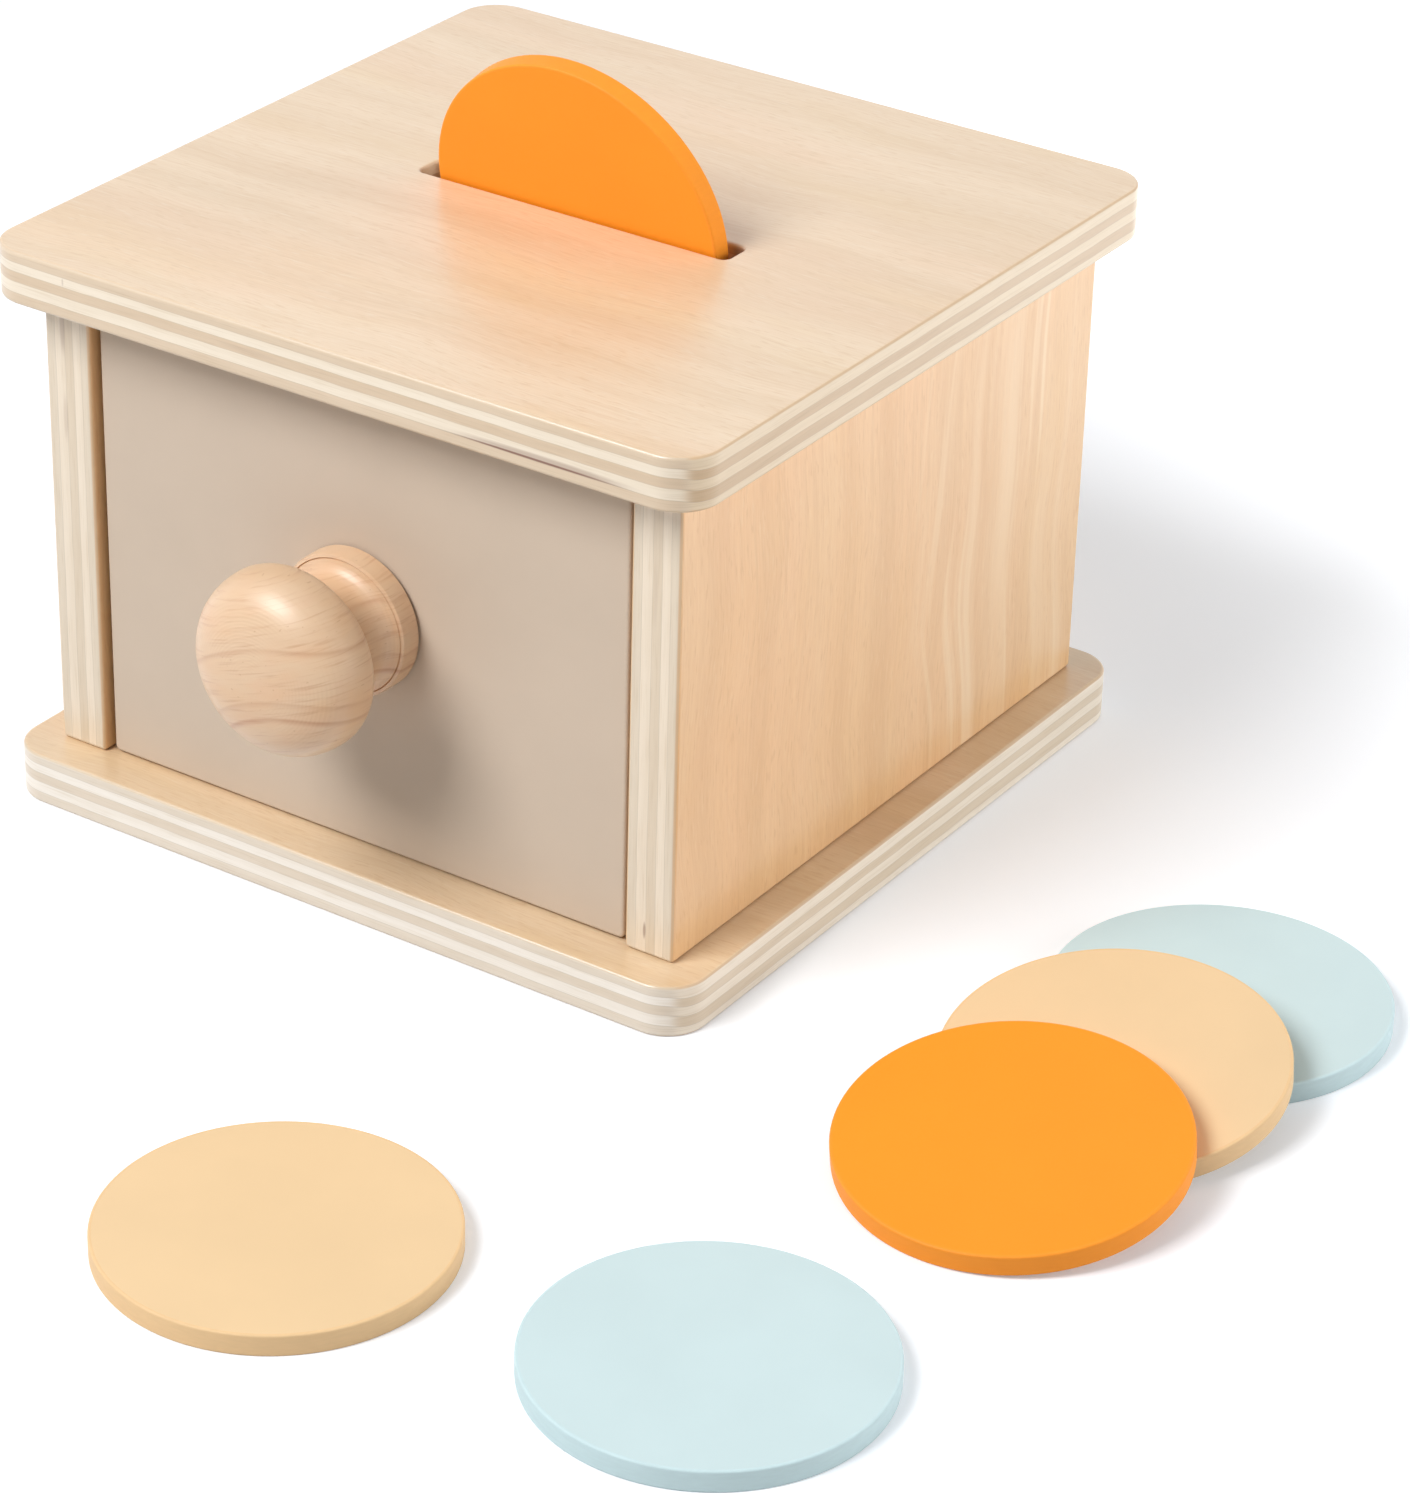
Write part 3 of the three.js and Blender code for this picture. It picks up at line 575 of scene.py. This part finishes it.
def zinc_steel(name):
    """Zinc plated steel: bright grey metal with a faint frosted grain from the plating."""
    material, tree, shader = new_material(name, {"Metallic": 1.0})
    place, _ = placed_millimetres(tree, Vector(), X_AXIS, Z_AXIS)
    frost = sized_noise(tree, place, (0.8, 0.8, 0.8), detail=3.0)
    tone = stain(tree, opaque(linear("#A9ADB2")), opaque(linear("#D3D6DA")), frost, 0, 1)
    finish_surface(tree, shader, tone, frost, (0.26, 0.42))
    return material


# Shapes


def swept_edge_tree():
    """Geometry Nodes: an edge profile swept round a rounded rectangle or a circle, both faces filled, and a
    slot left open where one is asked for."""
    tree = bpy.data.node_groups.new("Swept edge", "GeometryNodeTree")
    sockets = [("Profile", "Geometry"), ("Round", "Bool"), ("Corner Steps", "Int"), ("Material", "Material")]
    sizes = ("Width", "Depth", "Thickness", "Corner Radius", "Slot Length", "Slot Width", "Slot Corner")
    for name, kind in sockets + [(name, "Float") for name in sizes]:
        tree.interface.new_socket(name, in_out="INPUT", socket_type=f"NodeSocket{kind}")
    tree.interface.new_socket("Geometry", in_out="OUTPUT", socket_type="NodeSocketGeometry")
    given = add_node(tree, "NodeGroupInput").outputs

    # A swept profile stands out along +X and downwards along +Y, so it is turned over first
    radius = add_node(tree, "ShaderNodeMath", {"operation": "MULTIPLY"}, {0: given["Width"], 1: 0.5})
    circle = add_node(tree, "GeometryNodeCurvePrimitiveCircle", inputs={
        "Resolution": ROUND_STEPS, "Radius": radius.outputs[0],
    })
    rims = (
        (given["Width"], given["Depth"], given["Corner Radius"], given["Round"], (1, -1, 1)),
        (given["Slot Length"], given["Slot Width"], given["Slot Corner"], False, (-1, -1, 1)),
    )
    walls = []
    for width, depth, corner, is_round, flip in rims:
        profile = add_node(tree, "GeometryNodeTransform", inputs={
            "Geometry": given["Profile"], "Scale": flip,
        })
        line = add_node(tree, "GeometryNodeMeshToCurve", inputs={"Mesh": profile.outputs["Geometry"]})
        corners = add_node(tree, "GeometryNodeCurvePrimitiveQuadrilateral", inputs={
            "Width": width, "Height": depth,
        })
        rounded = add_node(tree, "GeometryNodeFilletCurve", {"mode": "POLY"}, {
            "Curve": corners.outputs["Curve"], "Count": given["Corner Steps"], "Radius": corner,
        })
        rim = add_node(tree, "GeometryNodeSwitch", inputs={
            "Switch": is_round, "False": rounded.outputs["Curve"], "True": circle.outputs["Curve"],
        })
        walls.append(add_node(tree, "GeometryNodeCurveToMesh", inputs={
            "Curve": rim.outputs["Output"], "Profile Curve": line.outputs["Curve"],
        }).outputs["Mesh"])
    with_slot = add_node(tree, "GeometryNodeJoinGeometry")
    for wall in walls:
        tree.links.new(wall, with_slot.inputs["Geometry"])
    slotted = add_node(tree, "FunctionNodeCompare", inputs={0: given["Slot Length"], 1: 0.0})
    chosen = add_node(tree, "GeometryNodeSwitch", inputs={
        "Switch": slotted.outputs["Result"], "False": walls[0], "True": with_slot.outputs["Geometry"],
    })
    closed = add_node(tree, "GeometryNodeMergeByDistance", inputs={
        "Geometry": chosen.outputs["Output"], "Distance": WELD,
    })
    marked = add_node(tree, "GeometryNodeStoreNamedAttribute", {"domain": "FACE"}, {
        "Geometry": closed.outputs["Geometry"], "Name": "rim", "Value": 1.0,
    }).outputs["Geometry"]

    # The open loops at the top and at the bottom are filled with flat faces
    neighbours = add_node(tree, "GeometryNodeInputMeshEdgeNeighbors")
    open_edge = add_node(tree, "FunctionNodeCompare", {"data_type": "INT", "operation": "EQUAL"}, {
        2: neighbours.outputs["Face Count"], 3: 1,
    })
    position = add_node(tree, "GeometryNodeInputPosition")
    height = add_node(tree, "ShaderNodeSeparateXYZ", inputs={"Vector": position.outputs["Position"]})
    middle = add_node(tree, "ShaderNodeMath", {"operation": "MULTIPLY"}, {0: given["Thickness"], 1: 0.5})
    whole = add_node(tree, "GeometryNodeJoinGeometry")
    tree.links.new(marked, whole.inputs["Geometry"])
    lift = add_node(tree, "ShaderNodeCombineXYZ", inputs={"Z": given["Thickness"]})
    for side, offset in (("GREATER_THAN", lift.outputs["Vector"]), ("LESS_THAN", (0, 0, 0))):
        this_side = add_node(tree, "FunctionNodeCompare", {"operation": side}, {
            0: height.outputs["Z"], 1: middle.outputs[0],
        })
        wanted = add_node(tree, "FunctionNodeBooleanMath", inputs={
            0: open_edge.outputs["Result"], 1: this_side.outputs["Result"],
        })
        loop = add_node(tree, "GeometryNodeMeshToCurve", inputs={
            "Mesh": marked, "Selection": wanted.outputs["Boolean"],
        })
        cap = add_node(tree, "GeometryNodeFillCurve", {"mode": "NGONS"}, {"Curve": loop.outputs["Curve"]})
        placed = add_node(tree, "GeometryNodeTransform", inputs={
            "Geometry": cap.outputs["Mesh"], "Translation": offset,
        })
        tree.links.new(placed.outputs["Geometry"], whole.inputs["Geometry"])
    merged = add_node(tree, "GeometryNodeMergeByDistance", inputs={
        "Geometry": whole.outputs["Geometry"], "Distance": WELD,
    })
    real = add_node(tree, "GeometryNodeRealizeInstances", inputs={"Geometry": merged.outputs["Geometry"]})
    finished = add_node(tree, "GeometryNodeSetMaterial", inputs={
        "Geometry": real.outputs["Geometry"], "Material": given["Material"],
    })
    add_node(tree, "NodeGroupOutput", inputs={"Geometry": finished.outputs["Geometry"]})
    return tree


def eased_profile(thickness, ease):
    """The edge of a plate as (out from its outline, height), from the lower face to the upper one."""
    lower = [(-ease - EDGE_RING, 0)]
    for step in range(EASE_STEPS + 1):
        angle = math.pi / 2 * step / EASE_STEPS
        lower.append((ease * (math.sin(angle) - 1), ease * (1 - math.cos(angle))))
    lower.append((0, ease + EDGE_RING))
    return lower + [(out, thickness - height) for out, height in reversed(lower)]


def plain_mesh(piece):
    """The piece's modifiers worked into a plain mesh."""
    raw = piece.data
    shape = bpy.data.meshes.new_from_object(piece.evaluated_get(bpy.context.evaluated_depsgraph_get()))
    piece.modifiers.clear()
    piece.data = shape
    bpy.data.meshes.remove(raw)


def linked_object(name, points, edges, faces):
    shape = bpy.data.meshes.new(name)
    shape.from_pydata(points, edges, faces)
    thing = bpy.data.objects.new(name, shape)
    bpy.context.scene.collection.objects.link(thing)
    return thing


def swept_piece(name, profile, material, place, sizes):
    """A piece made by the swept-edge tree, moved to its place as a plain mesh."""
    points = [(out, up, 0) for out, up in profile]
    piece = linked_object(name, points, [(index, index + 1) for index in range(len(points) - 1)], [])
    tree = bpy.data.node_groups.get("Swept edge") or swept_edge_tree()
    sweep = piece.modifiers.new("Swept edge", "NODES")
    sweep.node_group = tree
    sizes = {"Material": material, **sizes}
    for item in tree.interface.items_tree:
        if item.in_out == "INPUT" and item.name in sizes:
            sweep[item.identifier] = sizes[item.name]
    plain_mesh(piece)
    finish_mesh(piece.data, place)
    return piece


def finish_mesh(shape, place):
    """Closes a mesh, points its faces outwards, smooths its curves and moves it to its place."""
    work = bmesh.new()
    work.from_mesh(shape)
    bmesh.ops.remove_doubles(work, verts=work.verts, dist=WELD)
    bmesh.ops.recalc_face_normals(work, faces=work.faces)
    bmesh.ops.transform(work, matrix=place, verts=work.verts)
    work.to_mesh(shape)
    work.free()
    shape.shade_smooth()
    shape.set_sharp_from_angle(angle=SHARP_ANGLE)


def stand_for(piece, node):
    """The piece takes the place of a solid and rides on its body."""
    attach(piece, BODY_OF[node])
    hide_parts(node)


def plate_piece(name, node, stack, material, ease, corner, slot=(0, 0, 0)):
    """A flat piece with eased edges in the space of a solid, with stack as the way through it."""
    low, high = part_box(node)
    size = high - low
    across, along = stack.zxy, stack.yzx  # the other two axes, in turn
    thickness = stack.dot(size)
    foot = (low + high) / 2 - stack * thickness / 2
    place = Matrix.Translation(foot) @ Matrix((across, along, stack)).transposed().to_4x4()
    piece = swept_piece(name, eased_profile(thickness, ease), material, place, {
        "Width": across.dot(size), "Depth": along.dot(size), "Thickness": thickness,
        "Corner Radius": corner, "Corner Steps": CORNER_STEPS,
        "Slot Length": slot[0], "Slot Width": slot[1], "Slot Corner": slot[2],
    })
    stand_for(piece, node)


def round_piece(name, profile, material, place, radius, length):
    """A turned piece: its profile is given as (radius, height) from its foot to its tip."""
    outline = [(reach - radius, height) for reach, height in profile]
    return swept_piece(name, outline, material, place, {
        "Width": 2 * radius, "Thickness": length, "Round": True,
    })


def knob_profile(settings, length, head_radius):
    """The knob's outline as (radius, out from the drawer face), from its foot to its tip."""
    foot = settings.flange_diameter / 2
    top = settings.flange_thickness
    neck = settings.neck_diameter / 2
    neck_out = settings.neck_from_face
    head_out = settings.head_from_face
    ease = settings.flange_ease
    groove = settings.groove
    step = settings.foot_step
    gap_wall = foot - 4 * step
    shoulder = foot - ease - groove
    points = [(gap_wall, 0), (gap_wall, step), (foot - step, step), (foot, 2 * step), (foot, top - ease)]
    points += [(foot - 0.3 * ease, top - 0.3 * ease), (foot - ease, top)]
    points += [(shoulder + groove / 2, top - groove), (shoulder, top)]

    def sweep(*knots):
        start = Vector((*points[-1], 0))
        curve = interpolate_bezier(start, *(Vector((*knot, 0)) for knot in knots), KNOB_STEPS)
        points.extend((point.x, point.y) for point in curve[1:])

    sweep((shoulder - 0.7 * (shoulder - neck), top + 0.1 * (neck_out - top)),
          (neck, neck_out - 0.5 * (neck_out - top)), (neck, neck_out))
    under = (neck_out + head_out) / 2
    sweep((neck, under), (head_radius, under), (head_radius, head_out))
    full = settings.dome_fullness
    sweep((head_radius, head_out + full * (length - head_out)), (full * head_radius, length), (0, length))
    return points


def coin_place(node):
    """A matrix that lays a coin, built on its lower face, where its solid lies, and the coin's thickness."""
    low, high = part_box(node)
    middle = (low + high) / 2
    points = np.array([vertex.co for vertex in frame["nodes"][node].data.vertices]) - np.array(middle)
    thin_way = np.linalg.eigh(points.T @ points)[1][:, 0]
    up = Vector(thin_way)
    if up.dot(Vector((0, -0.5, 1))) < 0:
        up = -up
    across = (X_AXIS - up * up.x).normalized()
    turn = Matrix((across, up.cross(across), up)).transposed().to_4x4()
    thickness = 2 * np.abs(points @ thin_way).max()
    return Matrix.Translation(middle - up * thickness / 2) @ turn, thickness


def wood_colours(settings, board):
    """Colours of a board's face, of its end grain and of its long grain."""
    return [getattr(settings, f"{board}_{part}") for part in ("veneer", "light", "dark")]


def dress(node, material):
    """A solid that keeps its own mesh gets its material."""
    materials = frame["nodes"][node].data.materials
    materials.clear()
    materials.append(material)


# Operators


class COINBOX_OT_boards(bpy.types.Operator):
    """Make the top board with its slot, and the base board"""

    bl_idname = "coin_box.boards"
    bl_label = "Boards"

    def execute(self, context):
        settings = context.scene.coin_box.boards
        slot = (settings.slot_length, settings.slot_width, settings.slot_corner)
        boards = (
            ("plywood_top", "top_board", wood_colours(settings, "top"), TOP_MARKS, TOP_END_SHADE, slot),
            ("plywood_base", "base_board", wood_colours(settings, "base"), (), END_TINT, (0, 0, 0)),
        )
        for name, node, colours, marks, end_tint_and_shade, opening in boards:
            material = plywood(
                f"birch_{name}", node, X_AXIS, Z_AXIS, colours, marks=marks, end_tint_and_shade=end_tint_and_shade,
            )
            plate_piece(name, node, Z_AXIS, material, settings.board_ease, settings.corner_radius, opening)
        return {"FINISHED"}


class COINBOX_OT_panels(bpy.types.Operator):
    """Make the side panels and the back panel"""

    bl_idname = "coin_box.panels"
    bl_label = "Panels"

    def execute(self, context):
        settings = context.scene.coin_box.boards
        colours = wood_colours(settings, "side")
        panels = (
            ("left_side_panel", X_AXIS, LEFT_PANEL_MARKS),
            ("right_side_panel", X_AXIS, RIGHT_PANEL_MARKS),
            ("back_panel", Y_AXIS, ()),
        )
        for node, stack, marks in panels:
            material = plywood(
                f"birch_plywood_{node}", node, Z_AXIS, stack, colours, marks=marks, pale_from=PALE_FIGURE,
            )
            plate_piece(f"plywood_{node}", node, stack, material, settings.panel_ease, settings.panel_corner)
        return {"FINISHED"}


class COINBOX_OT_joinery(bpy.types.Operator):
    """Finish the dowels, pegs and brads that hold the boards together"""

    bl_idname = "coin_box.joinery"
    bl_label = "Joinery"

    def execute(self, context):
        settings = context.scene.coin_box.drawer
        pin_wood = turned_beech("beech_dowel", Vector(), settings.knob_light, settings.knob_dark)
        steel = zinc_steel("zinc_steel_brad")
        for node in frame["nodes"]:
            if "dowel" in node or "peg" in node:
                dress(node, pin_wood)
            elif "brad" in node:
                dress(node, steel)
        return {"FINISHED"}


class COINBOX_OT_drawer(bpy.types.Operator):
    """Make the painted drawer front, the drawer walls and the tray"""

    bl_idname = "coin_box.drawer"
    bl_label = "Drawer"

    def execute(self, context):
        settings = context.scene.coin_box.drawer
        paint = painted_wood("taupe_paint", settings.paint, settings.paint)
        plate_piece(
            "painted_drawer_front", "drawer_front", Y_AXIS, paint,
            settings.front_ease, settings.front_corner,
        )
        colours = wood_colours(settings, "wall")
        walls = (
            ("drawer_left_side", X_AXIS, Y_AXIS, FIVE_PLY),
            ("drawer_right_side", X_AXIS, Y_AXIS, FIVE_PLY),
            ("drawer_back", Y_AXIS, X_AXIS, FIVE_PLY),
            ("drawer_tray", Z_AXIS, X_AXIS, THREE_PLY),
        )
        for node, stack, grain, plies in walls:
            material = plywood(f"birch_{node}", node, grain, stack, colours, plies)
            plate_piece(f"{node}_wood", node, stack, material, settings.wall_ease, settings.wall_corner)
        return {"FINISHED"}


class COINBOX_OT_knob(bpy.types.Operator):
    """Turn the knob and finish its screw"""

    bl_idname = "coin_box.knob"
    bl_label = "Knob"

    def execute(self, context):
        settings = context.scene.coin_box.drawer
        low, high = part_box("drawer_knob")
        middle = (low + high) / 2
        length = high.y - low.y
        wood = turned_beech("beech_knob", middle, settings.knob_light, settings.knob_dark)
        place = Matrix.Translation((middle.x, high.y, middle.z)) @ Matrix.Rotation(math.pi / 2, 4, "X")
        profile = knob_profile(settings, length, (high.x - low.x) / 2)
        knob = round_piece("turned_knob", profile, wood, place, settings.flange_diameter / 2, length)
        stand_for(knob, "drawer_knob")
        dress("knob_screw", zinc_steel("zinc_steel_screw"))
        return {"FINISHED"}


class COINBOX_OT_coins(bpy.types.Operator):
    """Make the six painted coins"""

    bl_idname = "coin_box.coins"
    bl_label = "Coins"

    def execute(self, context):
        settings = context.scene.coin_box.coins
        radius = settings.diameter / 2
        paints = {}
        for name in ("orange", "peach", "blue"):
            face, rim = getattr(settings, name), getattr(settings, f"{name}_rim")
            paints[name] = painted_wood(f"{name}_coin_paint", face, rim)
        for node in frame["nodes"]:
            colour = next((name for name in paints if name in node), None)
            if colour is not None:
                place, thickness = coin_place(node)
                profile = [(radius + out, up) for out, up in eased_profile(thickness, settings.ease)]
                coin = round_piece(f"painted_{node}", profile, paints[colour], place, radius, thickness)
                stand_for(coin, node)
        return {"FINISHED"}


def looked_at(tree):
    """1 for what the camera sees straight, mirrored or through glass, and 0 for light that only bounces."""
    ray = add_node(tree, "ShaderNodeLightPath").outputs
    seen = ray["Is Camera Ray"]
    for other in ("Is Glossy Ray", "Is Transmission Ray"):
        either = add_node(tree, "ShaderNodeMath", {"operation": "MAXIMUM"}, {0: seen, 1: ray[other]})
        seen = either.outputs[0]
    return seen


class COINBOX_OT_stage(bpy.types.Operator):
    """Set the floor, the light and the camera"""

    bl_idname = "coin_box.stage"
    bl_label = "Stage"

    def execute(self, context):
        settings = context.scene.coin_box.stage
        self.add_floor(settings)
        self.add_sky(context, settings)
        self.add_lamp(context, "softbox", *SOFTBOX, settings.key)
        self.add_lamp(context, "screen", *SCREEN, settings.fill)
        self.add_camera(context, settings)
        context.scene.view_settings.view_transform = "Standard"
        return {"FINISHED"}

    def add_floor(self, settings):
        corners = [(FLOOR_HALF * x, FLOOR_HALF * y, 0) for x, y in ((-1, -1), (1, -1), (1, 1), (-1, 1))]
        floor = linked_object("floor", corners, [], [(0, 1, 2, 3)])
        material, tree, shader = new_material("seamless_paper", {
            "Roughness": 0.9, "Specular IOR Level": 0.0, "Emission Color": WHITE,
        })
        # Where it is looked at, the paper is lifted to white far from the box, and behind the box as painted
        # light that fades its shadow; near the box the shadows stay
        seen = looked_at(tree)
        paper = stain(tree, opaque(settings.floor_bounce), opaque(settings.floor), seen, 0, 1)
        tree.links.new(paper, shader.inputs["Base Color"])
        place = add_node(tree, "ShaderNodeTexCoord").outputs["Object"]
        lift = settings.floor_lift
        for operation, way, start, full in WHITE_PAPER:
            reach = add_node(tree, "ShaderNodeVectorMath", {"operation": operation}, {0: place, 1: way})
            lift = add_node(tree, "ShaderNodeMapRange", {"interpolation_type": "SMOOTHSTEP"}, {
                "Value": reach.outputs["Value"], "From Min": start, "From Max": full, "To Min": lift,
            }).outputs["Result"]
        glow = add_node(tree, "ShaderNodeMath", {"operation": "MULTIPLY"}, {0: seen, 1: lift})
        tree.links.new(glow.outputs[0], shader.inputs["Emission Strength"])
        floor.data.materials.append(material)

    def add_sky(self, context, settings):
        world = bpy.data.worlds.new("white studio")
        context.scene.world = world
        world.use_nodes = True
        tree = world.node_tree
        tree.nodes.clear()
        # White where it is looked at; as a light, the wall behind is brighter than the room in front
        way = add_node(tree, "ShaderNodeTexCoord").outputs["Generated"]
        backward = add_node(tree, "ShaderNodeVectorMath", {"operation": "DOT_PRODUCT"}, {
            0: way, 1: BRIGHT_WALL,
        })
        level = add_node(tree, "ShaderNodeMapRange", inputs={
            "Value": backward.outputs["Value"], "From Min": -1.0,
            "To Min": settings.front_sky, "To Max": settings.back_sky,
        })
        shown = add_node(tree, "ShaderNodeMix", inputs={
            "Factor": looked_at(tree), 2: level.outputs["Result"], 3: 1.0,
        })
        sky = add_node(tree, "ShaderNodeBackground", inputs={"Color": WHITE, "Strength": shown.outputs[0]})
        add_node(tree, "ShaderNodeOutputWorld", inputs={"Surface": sky.outputs["Background"]})

    def add_lamp(self, context, name, towards, reach, size, level):
        """A square lamp that lights a white face turned towards it to a level of 1 where level is 1."""
        light = bpy.data.lights.new(name, "AREA")
        light.shape = "SQUARE"
        light.size = size
        light.energy = level * math.pi ** 2 * reach ** 2
        lamp = bpy.data.objects.new(name, light)
        lamp.location = towards.normalized() * reach
        lamp.rotation_euler = towards.to_track_quat("Z", "Y").to_euler()
        lamp.visible_camera = False
        lamp.visible_glossy = name == "softbox"
        context.scene.collection.objects.link(lamp)

    def add_camera(self, context, settings):
        back = Vector((
            math.sin(settings.azimuth) * math.cos(settings.elevation),
            -math.cos(settings.azimuth) * math.cos(settings.elevation),
            math.sin(settings.elevation),
        ))
        level = Vector((math.cos(settings.azimuth), math.sin(settings.azimuth), 0))
        upright = back.cross(level)
        right = level * math.cos(settings.roll) + upright * math.sin(settings.roll)
        up = upright * math.cos(settings.roll) - level * math.sin(settings.roll)
        location = Z_AXIS * settings.aim_height + right * settings.shift_right - up * settings.shift_down
        location += back * settings.distance
        lens = bpy.data.cameras.new("camera")
        lens.sensor_fit = "VERTICAL"
        lens.sensor_height = FRAME_HEIGHT
        lens.lens = settings.lens
        camera = bpy.data.objects.new("camera", lens)
        camera.matrix_world = Matrix.Translation(location) @ Matrix((right, up, back)).transposed().to_4x4()
        context.scene.collection.objects.link(camera)
        context.scene.camera = camera


STEPS = (
    COINBOX_OT_boards, COINBOX_OT_panels, COINBOX_OT_joinery, COINBOX_OT_drawer, COINBOX_OT_knob,
    COINBOX_OT_coins, COINBOX_OT_stage,
)


class COINBOX_PT_sidebar(bpy.types.Panel):
    """Sizes, colours and steps of the coin box"""

    bl_label = "Coin Box"
    bl_idname = "COINBOX_PT_sidebar"
    bl_space_type = "VIEW_3D"
    bl_region_type = "UI"
    bl_category = "Coin Box"

    def draw(self, context):
        for group in ("boards", "drawer", "coins", "stage"):
            settings = getattr(context.scene.coin_box, group)
            section = self.layout.box()
            section.label(text=group.capitalize())
            for name in settings.__annotations__:
                section.prop(settings, name)
        for step in STEPS:
            self.layout.operator(step.bl_idname)


CLASSES = (
    BoardSettings, DrawerSettings, CoinSettings, StageSettings, CoinBoxSettings, *STEPS, COINBOX_PT_sidebar,
)


def register():
    for item in CLASSES:
        bpy.utils.register_class(item)
    bpy.types.Scene.coin_box = PointerProperty(type=CoinBoxSettings)


def unregister():
    del bpy.types.Scene.coin_box
    for item in reversed(CLASSES):
        bpy.utils.unregister_class(item)


def main():
    register()
    bpy.ops.coin_box.boards()
    bpy.ops.coin_box.panels()
    bpy.ops.coin_box.joinery()
    bpy.ops.coin_box.drawer()
    bpy.ops.coin_box.knob()
    bpy.ops.coin_box.coins()
    bpy.ops.coin_box.stage()


if __name__ == "__main__":
    main()
